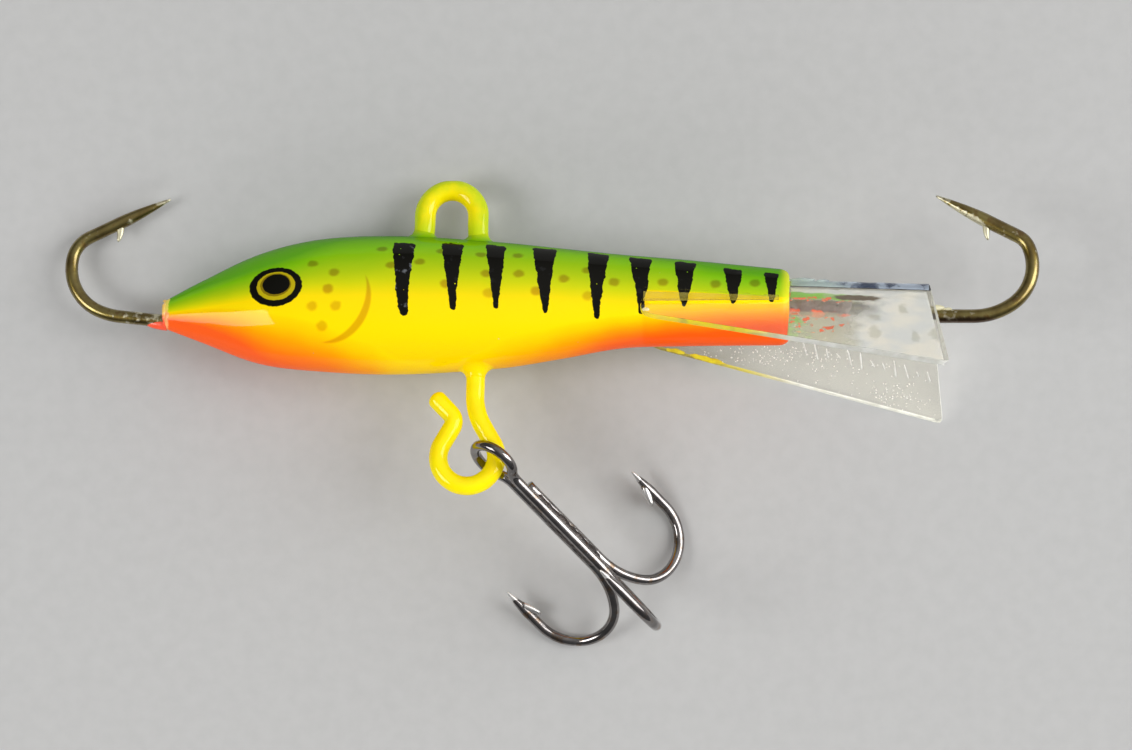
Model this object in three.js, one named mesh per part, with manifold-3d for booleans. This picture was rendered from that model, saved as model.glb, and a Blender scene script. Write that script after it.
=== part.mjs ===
// Ice fishing jig: a fish-shaped lead casting with a cast-in hook at each end, one bent wire that makes the
// line loop on its back and the open hanger under its belly, a clear roof-shaped tail fin and a treble hook.
// It lies on its side. Millimetres, +X from nose to tail, +Y towards the fish's back, +Z up.
// The jig's own frame has its origin at the nose, x along the casting, y to its back, z to its upper side.
import * as THREE from 'three';
import { mergeVertices } from 'three/addons/utils/BufferGeometryUtils.js';
import Module from 'manifold-3d';

const wasm = await Module();
wasm.setup();
const degrees = THREE.MathUtils.degToRad;

// How the jig lies: on one flank, with its back turned down a little and its tail raised by the fin
const ROLL = degrees(13.6);
const PITCH = degrees(4.39);
const NOSE_AXIS_HEIGHT = 2.88;
const SEAT = 0.03;

// Casting: distance from the nose, height of the back, height of the belly
const BODY_LENGTH = 45;
const OUTLINE = [
  [0, 0.45, -1.68],
  [2.5, 1.8, -2.62],
  [6.8, 3.82, -4.2],
  [11.2, 4.92, -4.76],
  [17, 5.14, -4.98],
  [24.2, 4.66, -4.55],
  [28.6, 4.2, -3.87],
  [32.9, 3.74, -3.1],
  [37, 3.4, -2.94],
  [44.2, 2.66, -2.88],
];
const WIDTH_TO_HEIGHT = 0.82;
const BODY_SIDES = 30;
const BODY_STEPS = 26;
const TAIL_ROUND_LENGTH = 0.8;
const TAIL_ROUND_DEPTH = 0.6;
const TAIL_ROUND_STEPS = 4;
const FIT = 0.25;

// Loop and hanger: one painted steel wire that passes down through the casting
const FRAME_WIRE = 1.34;
const LOOP_LEG_X = 18.56;
const LOOP_LEG_FOOT_Y = 0.6;
const LOOP_CENTRE_Y = 6.72;
const LOOP_RADIUS = 2.02;
const BELLY_LEG_END_Y = -6.63;
const HANGER_LEAN = { radius: 4.5, angle: degrees(30.9) };
const HANGER_LEAN_LENGTH = 1.32;
const HANGER_CUP = { radius: 2.07, angle: degrees(240.5) };
const HANGER_NECK_LENGTH = 1.3;
const HANGER_LIP = { radius: 0.88, angle: degrees(73.7) };
const HANGER_LIP_LENGTH = 1.88;

// Single hooks: their shanks are held in the casting
const NOSE_WIRE = 0.94;
const NOSE_SHANK_ROOT_X = 8.2;
const NOSE_SHANK_EXIT = { x: -1.02, y: -1.0 };
const NOSE_HEADING = degrees(174);
const NOSE_LEAD = 2.41;
const NOSE_BENDS = [[5.01, 19.4], [3.65, 74.9], [2.14, 53.5]];
const TAIL_WIRE = 0.99;
const TAIL_SHANK_ROOT_X = 35.5;
const TAIL_SHANK_SLOPE = degrees(3.3);
const TAIL_SHANK_BEND_RADIUS = 20;
const TAIL_SHANK_EXIT = { x: 55.95, y: -0.8 };
const TAIL_LEAD = 2.08;
const TAIL_BENDS = [[4.79, 35.1], [3.51, 76.7], [1.65, 40.7]];
const POINT_ARM = 6.5;
const POINT_TAPER = 3.9;
const BARB = { back: 4.75, stand: 1.1, root: 3.95, thickness: 0.32 };

// Treble: a double hook bent from one wire with the eye ring, and a single hook brazed along its shank
const TREBLE_WIRE = 0.76;
const TREBLE_LENGTH = 15.8;
const TREBLE_OFF_AXIS = 0.4;
const TREBLE_FLARE = { radius: 6.1, angle: degrees(37.8) };
const TREBLE_BEND = { radius: 3.13, angle: degrees(142.2) };
const TREBLE_ARM = 3.66;
const TREBLE_TAPER = 2.1;
const TREBLE_BARB = { back: 2.7, stand: 0.78, root: 2.15, thickness: 0.26 };
const TREBLE_DOUBLE_START = 3.1;
const TREBLE_SINGLE_START = 3.2;
const EYE_RADIUS = 1.55;
const EYE_NECK_RADIUS = 1.2;
const TREBLE_EYE = new THREE.Vector3(24.17, -11.28, 0.27);
const TREBLE_YAW = degrees(-46);
const TREBLE_TILT = degrees(16.15);

// Fin: two flat plates that meet in a ridge, glued in a slot in the casting's tail
const FIN_THICKNESS = 0.5;
const FIN_ANGLE = degrees(40.8);
const FIN_SLOPE = degrees(1.9);
const FIN_FRONT_X = 34.65;
const FIN_RIDGE_REAR_X = 55.05;
const FIN_CORNER_X = 56.4;
const FIN_FRONT_WIDTH = 5.8;
const FIN_REAR_WIDTH = 11.97;
const FIN_CORNER_RADIUS = 0.6;
const FIN_FRONT_RADIUS = 1.2;
const RIDGE_HEIGHT_AT_TAIL = 1.84;

const WIRE_SIDES = 8;
const BARB_SIDES = 4;
const CORNER_STEPS = 3;
const BEND_STEP = degrees(17);
const MERGE_WITHIN = 1e-5;

// Finishes
const finish = (color, roughness, metalness, opacity = 1) =>
  new THREE.MeshStandardMaterial({ color, roughness, metalness, opacity, transparent: opacity < 1 });
const PAINT = finish(0xf4c51c, 0.25, 0);
const YELLOW_PAINT = finish(0xf2dc1a, 0.3, 0);
const BRONZE = finish(0x8a6a33, 0.3, 0.9);
const BLACK_NICKEL = finish(0x3c3a3b, 0.2, 1);
const CLEAR_PLASTIC = finish(0xdfe4e0, 0.1, 0, 0.4);

// Solids: to and from manifold meshes
function toSolid(geometry) {
  const bare = geometry.clone();
  bare.deleteAttribute('normal');
  bare.deleteAttribute('uv');
  const merged = mergeVertices(bare, MERGE_WITHIN);
  return new wasm.Manifold(new wasm.Mesh({
    numProp: 3,
    vertProperties: Float32Array.from(merged.attributes.position.array),
    triVerts: Uint32Array.from(merged.index.array),
  }));
}

function toGeometry(solid) {
  const mesh = solid.getMesh();
  const geometry = new THREE.BufferGeometry();
  geometry.setAttribute('position', new THREE.BufferAttribute(Float32Array.from(mesh.vertProperties), 3));
  geometry.setIndex(new THREE.BufferAttribute(Uint32Array.from(mesh.triVerts), 1));
  geometry.computeVertexNormals();
  return geometry;
}

const joined = (geometries) => geometries.map(toSolid).reduce((sum, solid) => sum.add(solid));

// A wire's path: stations laid by straight runs and bends, as a wire former would make it
class WirePath extends THREE.Curve {
  constructor(start, heading) {
    super();
    this.stations = [start.clone()];
    this.heading = heading.clone().normalize();
  }

  get end() {
    return this.stations.at(-1);
  }

  run(length, steps = 1) {
    const from = this.end;
    for (let i = 1; i <= steps; i += 1) {
      this.stations.push(from.clone().addScaledVector(this.heading, (length * i) / steps));
    }
    return this;
  }

  bend(radius, angle, axis) {
    const centre = this.end.clone().addScaledVector(axis.clone().cross(this.heading), radius);
    const arm = this.end.clone().sub(centre);
    const steps = Math.max(1, Math.ceil(angle / BEND_STEP));
    for (let i = 1; i <= steps; i += 1) {
      this.stations.push(arm.clone().applyAxisAngle(axis, (angle * i) / steps).add(centre));
    }
    this.heading.applyAxisAngle(axis, angle);
    return this;
  }

  getPoint(t, target = new THREE.Vector3()) {
    const place = t * (this.stations.length - 1);
    const i = Math.min(Math.floor(place), this.stations.length - 2);
    return target.lerpVectors(this.stations[i], this.stations[i + 1], place - i);
  }

  getPointAt(u, target) {
    return this.getPoint(u, target);
  }

  getTangentAt(u, target = new THREE.Vector3()) {
    const i = Math.round(u * (this.stations.length - 1));
    const sides = [[i - 1, i], [i, i + 1]].filter(([a, b]) => this.stations[a] && this.stations[b]);
    target.set(0, 0, 0);
    for (const [a, b] of sides) {
      target.add(this.stations[b].clone().sub(this.stations[a]).normalize());
    }
    return target.normalize();
  }
}

// The axis about which a bend turns a heading towards one side
const axisTowards = (heading, side) => heading.clone().cross(side);

// A round wire along a path; thinning(i) is the share of its radius left at station i
function wireGeometry(path, diameter, thinning = () => 1) {
  const section = new THREE.Shape().absarc(0, 0, diameter / 2, 0, 2 * Math.PI);
  const geometry = new THREE.ExtrudeGeometry(section, {
    steps: path.stations.length - 1,
    curveSegments: WIRE_SIDES / 2,
    bevelEnabled: false,
    extrudePath: path,
  });
  const position = geometry.attributes.position;
  const vertex = new THREE.Vector3();
  for (let v = 0; v < position.count; v += 1) {
    vertex.fromBufferAttribute(position, v);
    const reach = path.stations.map((station) => station.distanceTo(vertex));
    const i = reach.indexOf(Math.min(...reach));
    vertex.sub(path.stations[i]).multiplyScalar(thinning(i)).add(path.stations[i]);
    position.setXYZ(v, vertex.x, vertex.y, vertex.z);
  }
  return geometry;
}

// The last stretch of a hook: an arm that tapers to its point, and the barb cut up from its inner side
const TAPER_SHARES = [1, 0.86, 0.68, 0.45, 0.1];

function hookArm(path, length, taper) {
  path.run(length - taper);
  path.run(taper, TAPER_SHARES.length - 1);
  const last = path.stations.length - 1;
  return (i) => TAPER_SHARES[Math.max(0, i - last + TAPER_SHARES.length - 1)];
}

function barbGeometry(path, inward, { back, stand, root, thickness }) {
  const along = path.heading;
  const tip = path.end.clone().addScaledVector(along, -back).addScaledVector(inward, stand);
  const foot = path.end.clone().addScaledVector(along, -root);
  const lean = tip.clone().sub(foot);
  const cone = new THREE.ConeGeometry(thickness, lean.length(), BARB_SIDES);
  cone.translate(0, lean.length() / 2, 0);
  cone.applyQuaternion(new THREE.Quaternion().setFromUnitVectors(
    new THREE.Vector3(0, 1, 0), lean.clone().normalize()));
  return cone.translate(foot.x, foot.y, foot.z);
}

// Casting
function bodyStations() {
  const outline = new THREE.CatmullRomCurve3(OUTLINE.map((row) => new THREE.Vector3(...row)));
  const stations = [];
  for (let i = 0; i <= BODY_STEPS; i += 1) {
    const { x, y: back, z: belly } = outline.getPoint(i / BODY_STEPS);
    stations.push({ x, back, belly });
  }
  const { back, belly } = stations.at(-1);
  for (let i = 1; i <= TAIL_ROUND_STEPS; i += 1) {
    const turn = (i / TAIL_ROUND_STEPS) * (Math.PI / 2);
    const inset = TAIL_ROUND_DEPTH * (1 - Math.cos(turn));
    const x = BODY_LENGTH - TAIL_ROUND_LENGTH * (1 - Math.sin(turn));
    stations.push({ x, back: back - inset, belly: belly + inset });
  }
  return stations;
}

function bodyGeometry() {
  const stations = bodyStations();
  const geometry = new THREE.CylinderGeometry(1, 1, 1, BODY_SIDES, stations.length - 1);
  const position = geometry.attributes.position;
  for (let v = 0; v < position.count; v += 1) {
    const station = stations[Math.round((0.5 - position.getY(v)) * (stations.length - 1))];
    const middle = (station.back + station.belly) / 2;
    const half = (station.back - station.belly) / 2;
    const y = middle + half * position.getX(v);
    const z = WIDTH_TO_HEIGHT * half * position.getZ(v);
    position.setXYZ(v, station.x, y, z);
  }
  return geometry;
}

// Wires of the casting, each as a path in the plane through the fish's back and belly
const SIDEWAYS = new THREE.Vector3(0, 0, 1);
const OTHER_WAY = new THREE.Vector3(0, 0, -1);
const inPlane = (x, y) => new THREE.Vector3(x, y, 0);
const headingAt = (angle) => inPlane(Math.cos(angle), Math.sin(angle));

function framePath() {
  const path = new WirePath(inPlane(LOOP_LEG_X, LOOP_LEG_FOOT_Y), headingAt(Math.PI / 2));
  path.run(LOOP_CENTRE_Y - LOOP_LEG_FOOT_Y);
  path.bend(LOOP_RADIUS, Math.PI, OTHER_WAY);
  path.run(LOOP_CENTRE_Y - BELLY_LEG_END_Y);
  path.bend(HANGER_LEAN.radius, HANGER_LEAN.angle, SIDEWAYS);
  path.run(HANGER_LEAN_LENGTH);
  path.bend(HANGER_CUP.radius, HANGER_CUP.angle, OTHER_WAY);
  path.run(HANGER_NECK_LENGTH);
  path.bend(HANGER_LIP.radius, HANGER_LIP.angle, SIDEWAYS);
  return path.run(HANGER_LIP_LENGTH);
}

function noseHookPath() {
  const out = headingAt(NOSE_HEADING);
  const held = (NOSE_SHANK_ROOT_X - NOSE_SHANK_EXIT.x) / -out.x;
  const root = inPlane(NOSE_SHANK_EXIT.x, NOSE_SHANK_EXIT.y).addScaledVector(out, -held);
  const path = new WirePath(root, out).run(held + NOSE_LEAD);
  NOSE_BENDS.forEach(([radius, angle]) => path.bend(radius, degrees(angle), OTHER_WAY));
  return path;
}

function tailHookPath() {
  const down = headingAt(-TAIL_SHANK_SLOPE);
  const bendStart = inPlane(
    TAIL_SHANK_EXIT.x - TAIL_SHANK_BEND_RADIUS * Math.sin(TAIL_SHANK_SLOPE),
    TAIL_SHANK_EXIT.y + TAIL_SHANK_BEND_RADIUS * (1 - Math.cos(TAIL_SHANK_SLOPE)));
  const straight = (bendStart.x - TAIL_SHANK_ROOT_X) / down.x;
  const path = new WirePath(bendStart.clone().addScaledVector(down, -straight), down).run(straight);
  path.bend(TAIL_SHANK_BEND_RADIUS, TAIL_SHANK_SLOPE, SIDEWAYS).run(TAIL_LEAD);
  TAIL_BENDS.forEach(([radius, angle]) => path.bend(radius, degrees(angle), SIDEWAYS));
  return path;
}

function singleHook(path, wire, inward) {
  const thinning = hookArm(path, POINT_ARM, POINT_TAPER);
  return joined([wireGeometry(path, wire, thinning), barbGeometry(path, inward(path.heading), BARB)]);
}

// Fin: one plate lies on each side of the ridge; room is the clearance that the slot leaves round it
function cornerRounded(shape, before, corner, after, size) {
  const from = before.clone().sub(corner).setLength(size).add(corner);
  const to = after.clone().sub(corner).setLength(size).add(corner);
  shape.lineTo(from.x, from.y);
  shape.quadraticCurveTo(corner.x, corner.y, to.x, to.y);
}

function plateShape(room) {
  const ridgeFront = new THREE.Vector2(FIN_FRONT_X - room, -room);
  const edgeFront = new THREE.Vector2(FIN_FRONT_X - room, FIN_FRONT_WIDTH);
  const corner = new THREE.Vector2(FIN_CORNER_X, FIN_REAR_WIDTH);
  const ridgeRear = new THREE.Vector2(FIN_RIDGE_REAR_X, -room);
  const plate = new THREE.Shape().moveTo(ridgeRear.x, ridgeRear.y);
  plate.lineTo(ridgeFront.x, ridgeFront.y);
  cornerRounded(plate, ridgeFront, edgeFront, corner, FIN_FRONT_RADIUS);
  cornerRounded(plate, edgeFront, corner, ridgeRear, FIN_CORNER_RADIUS);
  return plate;
}

function finSolid(room = 0) {
  const plates = [1, -1].map((side) => {
    const plate = new THREE.ExtrudeGeometry(plateShape(room), {
      depth: FIN_THICKNESS + 2 * room,
      bevelEnabled: false,
      curveSegments: CORNER_STEPS,
    });
    plate.translate(0, 0, side > 0 ? -room : -FIN_THICKNESS - room);
    return plate.rotateX(side * (Math.PI / 2 + FIN_ANGLE));
  });
  const ridgeHeightAtNose = RIDGE_HEIGHT_AT_TAIL + BODY_LENGTH * Math.sin(FIN_SLOPE);
  const place = new THREE.Matrix4().makeTranslation(0, ridgeHeightAtNose, 0);
  return joined(plates).transform(place.multiply(new THREE.Matrix4().makeRotationZ(-FIN_SLOPE)).elements);
}

// Treble: x runs from the middle of the eye down the shank, z is the hook that stands up
const AXIS = new THREE.Vector3(1, 0, 0);
const outwardAt = (turn) => new THREE.Vector3(0, 0, 1).applyAxisAngle(AXIS, turn);
const UP_HOOK = 0;
const LEFT_HOOK = degrees(120);
const RIGHT_HOOK = degrees(-120);

function trebleHook(turn, shankStart) {
  const outward = outwardAt(turn);
  const about = axisTowards(AXIS, outward);
  const flareReach = TREBLE_FLARE.radius * Math.sin(TREBLE_FLARE.angle);
  const bendReach = TREBLE_BEND.radius * (1 - Math.sin(TREBLE_FLARE.angle));
  const start = AXIS.clone().multiplyScalar(shankStart).addScaledVector(outward, TREBLE_OFF_AXIS);
  const path = new WirePath(start, AXIS).run(TREBLE_LENGTH - flareReach - bendReach - shankStart);
  path.bend(TREBLE_FLARE.radius, TREBLE_FLARE.angle, about);
  path.bend(TREBLE_BEND.radius, TREBLE_BEND.angle, about);
  const thinning = hookArm(path, TREBLE_ARM, TREBLE_TAPER);
  return [wireGeometry(path, TREBLE_WIRE, thinning), barbGeometry(path, outward.negate(), TREBLE_BARB)];
}

// The eye lies in the plane of the double hook's two shanks: it swings out from one and back to the other
function eyeGeometry() {
  const between = (UP_HOOK + LEFT_HOOK) / 2;
  const across = outwardAt(between - Math.PI / 2);
  const halfGap = TREBLE_OFF_AXIS * Math.sin((LEFT_HOOK - UP_HOOK) / 2);
  const neckOffset = halfGap + EYE_NECK_RADIUS;
  const neckToEye = EYE_RADIUS + EYE_NECK_RADIUS;
  const neckX = Math.sqrt(neckToEye ** 2 - neckOffset ** 2);
  const neckTurn = Math.acos(neckOffset / neckToEye);
  const start = new THREE.Vector3(neckX + EYE_RADIUS, 0, 0)
    .addScaledVector(across, halfGap)
    .addScaledVector(outwardAt(between), TREBLE_OFF_AXIS / 2);
  const path = new WirePath(start, AXIS.clone().negate()).run(EYE_RADIUS);
  const outwards = axisTowards(path.heading, across);
  path.bend(EYE_NECK_RADIUS, neckTurn, outwards);
  path.bend(EYE_RADIUS, Math.PI + 2 * neckTurn, outwards.clone().negate());
  path.bend(EYE_NECK_RADIUS, neckTurn, outwards);
  return wireGeometry(path.run(EYE_RADIUS), TREBLE_WIRE);
}

function trebleSolid() {
  return joined([
    ...trebleHook(UP_HOOK, TREBLE_DOUBLE_START),
    ...trebleHook(LEFT_HOOK, TREBLE_DOUBLE_START),
    ...trebleHook(RIGHT_HOOK, TREBLE_SINGLE_START),
    eyeGeometry(),
  ]);
}

// Nested groups: the object, the jig as it lies, and the treble that hangs on it
const jig = new THREE.Group();
jig.rotation.set(-ROLL, -PITCH, 0, 'YXZ');
jig.position.set(0, 0, NOSE_AXIS_HEIGHT);
jig.updateMatrixWorld();
const treble = new THREE.Group();
treble.rotation.set(0, TREBLE_TILT, TREBLE_YAW, 'ZYX');
treble.position.copy(TREBLE_EYE).applyMatrix4(jig.matrixWorld);
treble.updateMatrixWorld();

// What the surface below cuts flat: everything lower than z = 0, seen from a group's own frame
const SLAB = { across: 200, deep: 20 };
function restFlat(solid, group) {
  const slab = new THREE.BoxGeometry(SLAB.across, SLAB.across, SLAB.deep).translate(0, 0, -SLAB.deep / 2);
  return solid.subtract(toSolid(slab.applyMatrix4(group.matrixWorld.clone().invert())));
}

function named(name, geometry, material) {
  const mesh = new THREE.Mesh(geometry, material);
  mesh.name = name;
  return mesh;
}

const leftOf = (heading) => SIDEWAYS.clone().cross(heading);
const rightOf = (heading) => heading.clone().cross(SIDEWAYS);
const frameWire = wireGeometry(framePath(), FRAME_WIRE);
const noseHook = singleHook(noseHookPath(), NOSE_WIRE, rightOf);
const tailHook = singleHook(tailHookPath(), TAIL_WIRE, leftOf);

// The room that a held wire has in the casting, round it and past its end
function bore(path, diameter) {
  const [root, next] = path.stations;
  root.addScaledVector(next.clone().sub(root).normalize(), -FIT);
  return toSolid(wireGeometry(path, diameter + 2 * FIT));
}

const bored = toSolid(bodyGeometry())
  .subtract(bore(framePath(), FRAME_WIRE))
  .subtract(bore(noseHookPath(), NOSE_WIRE))
  .subtract(bore(tailHookPath(), TAIL_WIRE));
const body = restFlat(bored.subtract(finSolid(FIT)), jig);
jig.add(named('body', toGeometry(body), PAINT));
jig.add(named('loop_and_hanger_wire', frameWire, YELLOW_PAINT));
jig.add(named('nose_hook', toGeometry(noseHook), BRONZE));
jig.add(named('tail_hook', toGeometry(tailHook), BRONZE));
jig.add(named('tail_fin', toGeometry(restFlat(finSolid(), jig)), CLEAR_PLASTIC));

const trebleWhole = trebleSolid();
const lowest = new THREE.Box3().setFromBufferAttribute(
  toGeometry(trebleWhole).applyMatrix4(treble.matrixWorld).attributes.position).min.z;
treble.position.z -= lowest + SEAT;
treble.updateMatrixWorld();
treble.add(named('treble_hook', toGeometry(restFlat(trebleWhole, treble)), BLACK_NICKEL));

// The whole stands with the middle of its footprint at the origin
const object = new THREE.Group();
object.add(jig, treble);
const extent = new THREE.Box3().setFromObject(object, true);
const middle = extent.getCenter(new THREE.Vector3());
object.position.set(-middle.x, -middle.y, 0);

export default object;
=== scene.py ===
# Looks of an ice fishing jig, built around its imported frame. The scene is in metres. Every shape is made
# in millimetres in the jig's own frame (x from nose to tail, y to the back, z to the upper side) and then
# laid down.
import random
from math import acos, atan, ceil, cos, hypot, pi, radians, sin, sqrt, tan

import bmesh
import bpy
from mathutils import Euler, Matrix, Vector, noise


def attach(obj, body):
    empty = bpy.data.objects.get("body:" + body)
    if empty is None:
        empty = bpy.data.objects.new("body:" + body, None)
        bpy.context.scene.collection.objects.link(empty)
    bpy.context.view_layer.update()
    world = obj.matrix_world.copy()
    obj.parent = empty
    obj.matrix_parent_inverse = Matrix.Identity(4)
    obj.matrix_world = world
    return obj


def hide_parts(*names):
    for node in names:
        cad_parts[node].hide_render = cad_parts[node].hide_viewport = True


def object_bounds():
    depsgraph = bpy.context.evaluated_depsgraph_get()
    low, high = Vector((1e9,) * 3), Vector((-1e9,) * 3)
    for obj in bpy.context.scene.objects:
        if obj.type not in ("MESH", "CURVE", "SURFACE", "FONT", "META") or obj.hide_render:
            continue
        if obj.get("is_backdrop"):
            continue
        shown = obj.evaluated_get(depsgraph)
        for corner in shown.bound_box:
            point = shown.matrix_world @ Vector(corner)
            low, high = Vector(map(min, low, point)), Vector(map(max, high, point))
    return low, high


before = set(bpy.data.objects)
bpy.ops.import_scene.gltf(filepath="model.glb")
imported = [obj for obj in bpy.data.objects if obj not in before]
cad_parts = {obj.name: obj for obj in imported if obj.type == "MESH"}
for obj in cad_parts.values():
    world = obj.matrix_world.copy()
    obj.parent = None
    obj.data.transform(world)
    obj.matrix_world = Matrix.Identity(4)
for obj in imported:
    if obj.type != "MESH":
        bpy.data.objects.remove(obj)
cad_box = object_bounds()

# How the jig and its treble lie
MM = 0.001
ROLL = radians(13.6)
PITCH = radians(4.39)
JIG_ORIGIN = Vector((-27.555, 7.818, 2.88))
TREBLE_ORIGIN = Vector((-3.679, -3.083, 7.585))
TREBLE_YAW = radians(-46)
TREBLE_TILT = radians(16.15)
TO_METRES = Matrix.Scale(MM, 4)
JIG_TURN = Matrix.Rotation(-PITCH, 4, "Y") @ Matrix.Rotation(-ROLL, 4, "X")
JIG = TO_METRES @ Matrix.Translation(JIG_ORIGIN) @ JIG_TURN
TREBLE_TURN = Matrix.Rotation(TREBLE_YAW, 4, "Z") @ Matrix.Rotation(TREBLE_TILT, 4, "Y")
TREBLE = TO_METRES @ Matrix.Translation(TREBLE_ORIGIN) @ TREBLE_TURN
AHEAD = Vector((1, 0, 0))
SIDEWAYS = Vector((0, 0, 1))

# Casting: distance from the nose, height of the back, height of the belly
BODY_LENGTH = 45
OUTLINE = [
    (0, 0.45, -1.68),
    (2.5, 1.78, -2.62),
    (6.8, 3.8, -4.2),
    (11.2, 4.88, -4.76),
    (17, 5.1, -4.98),
    (24.2, 4.64, -4.55),
    (28.6, 4.18, -3.87),
    (32.9, 3.73, -3.1),
    (37, 3.38, -2.94),
    (44.2, 2.66, -2.88),
]
WIDTH_TO_HEIGHT = 0.82
BODY_RINGS = 230
BODY_SIDES = 112
TAIL_ROUND = {"length": 0.8, "depth": 0.6, "steps": 10}
CAP_STEPS = 5
FILLET = {"size": 0.75, "sink": 0.01, "steps": 12, "sides": 48, "foot": 0.95, "fade": 0.78}
NOSE_RIM = {"share": 0.93, "ahead": 0.03, "torn": 0.16, "least": -0.2, "closeness": 3, "seed": 4.2}
NOSE_RIM |= {"thick": 0.1, "uneven": 0.05, "draw": 1.4, "sides": 72, "section_sides": 10}
NOSE_DRIP = {"start": (0.1, -1.34, 0), "end": (-1.5, -1.2, 0), "radius": 0.46, "blunt": 0.9655, "steps": 14}

# Loop and hanger: one painted wire. A bend is a radius and an angle in degrees
FRAME_WIRE = 1.34
LOOP_LEG_X = 18.56
LOOP_LEG_FOOT_Y = 0.6
LOOP_CENTRE_Y = 6.72
LOOP_RADIUS = 2.02
LOOP_MIDDLE_X = LOOP_LEG_X + LOOP_RADIUS
BELLY_LEG_X = LOOP_LEG_X + 2 * LOOP_RADIUS
LOOP_PAINT = {"from": 3.5, "over": 2.5, "thick": 0.09}
BELLY_LEG_END_Y = -6.63
HANGER_LEAN = (4.5, 30.9)
HANGER_LEAN_LENGTH = 1.32
HANGER_CUP = (2.07, 240.5)
HANGER_NECK_LENGTH = 1.3
HANGER_LIP = (0.88, 73.7)
HANGER_LIP_LENGTH = 1.88
END_ROUND = 0.5
END_STEPS = 8

# Single hooks
NOSE_WIRE = 0.94
NOSE_ROOT_X = 8.2
NOSE_EXIT = (-1.02, -1.0)
NOSE_HEADING = 174
NOSE_LEAD = 2.41
NOSE_BENDS = [(5.01, 19.4), (3.65, 74.9), (2.14, 53.5)]
TAIL_WIRE = 0.99
TAIL_ROOT_X = 35.5
TAIL_SLOPE = 3.3
TAIL_BEND_RADIUS = 20
TAIL_EXIT = (55.95, -0.8)
TAIL_FALL = tan(radians(TAIL_SLOPE))
SHANK_AT_TAIL_Y = TAIL_EXIT[1] + TAIL_FALL * (TAIL_EXIT[0] - BODY_LENGTH)
TAIL_LEAD = 2.08
TAIL_BENDS = [(4.79, 35.1), (3.51, 76.7), (1.65, 40.7)]
EXIT_WEAR = 0.4
EXIT_SPREAD = 3.2
BEND_WEAR = 0.12
BEND_SPREAD = 1.8
# Pale share on each single hook's inner side up to the barb: partly wear, partly a painted highlight
NOSE_INNER_WEAR_AND_SHEEN = 0.3
TAIL_INNER_WEAR_AND_SHEEN = 0.78
POINT_ARM = 6.5
POINT_TAPER = 3.9
TAPER_STEPS = 24
BARB = {"back": 4.75, "stand": 1.22, "root": 4.15, "thick": 0.33}
BARB_SHAPE = {"steps": 12, "sag": 0.12, "thinning": 0.68, "blunt": 0.45, "flatness": 0.7, "worn_steps": 4}

# Treble: x runs from the middle of the eye down the shank, z is the hook that stands up
TREBLE_WIRE = 0.76
TREBLE_LENGTH = 15.8
TREBLE_OFF_AXIS = 0.4
TREBLE_FLARE = (6.1, 37.8)
TREBLE_BEND = (3.13, 142.2)
TREBLE_ARM = 3.66
TREBLE_TAPER = 2.1
TREBLE_BARB = {"back": 2.8, "stand": 0.74, "root": 1.5, "thick": 0.42}
TREBLE_SINGLE_START = 3.2
EYE_RADIUS = 1.55
EYE_NECK_RADIUS = 1.2
UP_HOOK = 0
LEFT_HOOK = radians(120)
RIGHT_HOOK = radians(-120)
BRAZE = {"start": 3.4, "end": 11.4, "radius": 0.58, "end_share": 0.25, "swell": 7, "lumps": 0.1, "steps": 70}

# Fin: two flat plates that meet in a ridge
FIN_THICKNESS = 0.5
FIN_ANGLE = radians(40.8)
FIN_SLOPE = radians(1.9)
FIN_FRONT_X = 34.65
FIN_RIDGE_REAR_X = 55.05
FIN_CORNER_X = 56.4
FIN_FRONT_WIDTH = 5.8
FIN_REAR_WIDTH = 11.97
FIN_CORNER_RADIUS = 0.6
FIN_FRONT_RADIUS = 1.2
FIN_EDGE = 0.07
FIN_THINNING = 0.3
RIM_COSINE = 0.95
RIDGE_HEIGHT_AT_TAIL = 1.84
UPPER = 1
LOWER = -1

# On the fin: its haze, then drifts of grains by count, middle and spread, in distance from nose and ridge
FILM = {"gap": 0.15, "first": 0.65, "width": FIN_REAR_WIDTH - 1.1, "margin": FIN_THINNING + 0.05}
FILM |= {"columns": 60, "rows": 40}
FILM_DEPTHS = (FIN_THICKNESS + 0.012, FIN_THICKNESS + 0.024)
GRAIN_DRIFTS = [
    (120, (42.5, 2.2), (6.2, 0.6)),
    (60, (46.3, 1.6), (6.3, 0.7)),
    (100, (52.8, 1.3), (9.6, 0.8)),
    (60, (49.0, 3.0), (7.5, 1.5)),
]
GRAIN_SIZES = (0.032, 0.08)
GRAIN_MARGIN = FIN_THINNING + 0.1
GRAINS_FROM_RIDGE = 1.2
GRAINS_FROM_FRONT = 0.5
GRAIN_LIFT = 0.3
STROKES = {"count": 12, "first": (46.2, 5.5), "step": (0.82, 0.2)}
STROKE_LEAN = {"mean": 0.12, "swing": 0.05, "rate": 2.3}
STROKE_REACH = {"mean": 0.5, "swing": 0.3, "rate": 1.7}
STROKE_RADII = {-1: 0.02, -0.8: 0.05, 0: 0.055, 0.8: 0.05, 1: 0.02}
EDGE_PAINT = [(36.2, 37.5), (37.9, 40.5)]
EDGE_PAINT_LINE = {"inset": 0.3, "half_width": 0.22, "flatness": 0.3, "lumps": 0.12, "steps": 16}

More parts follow.
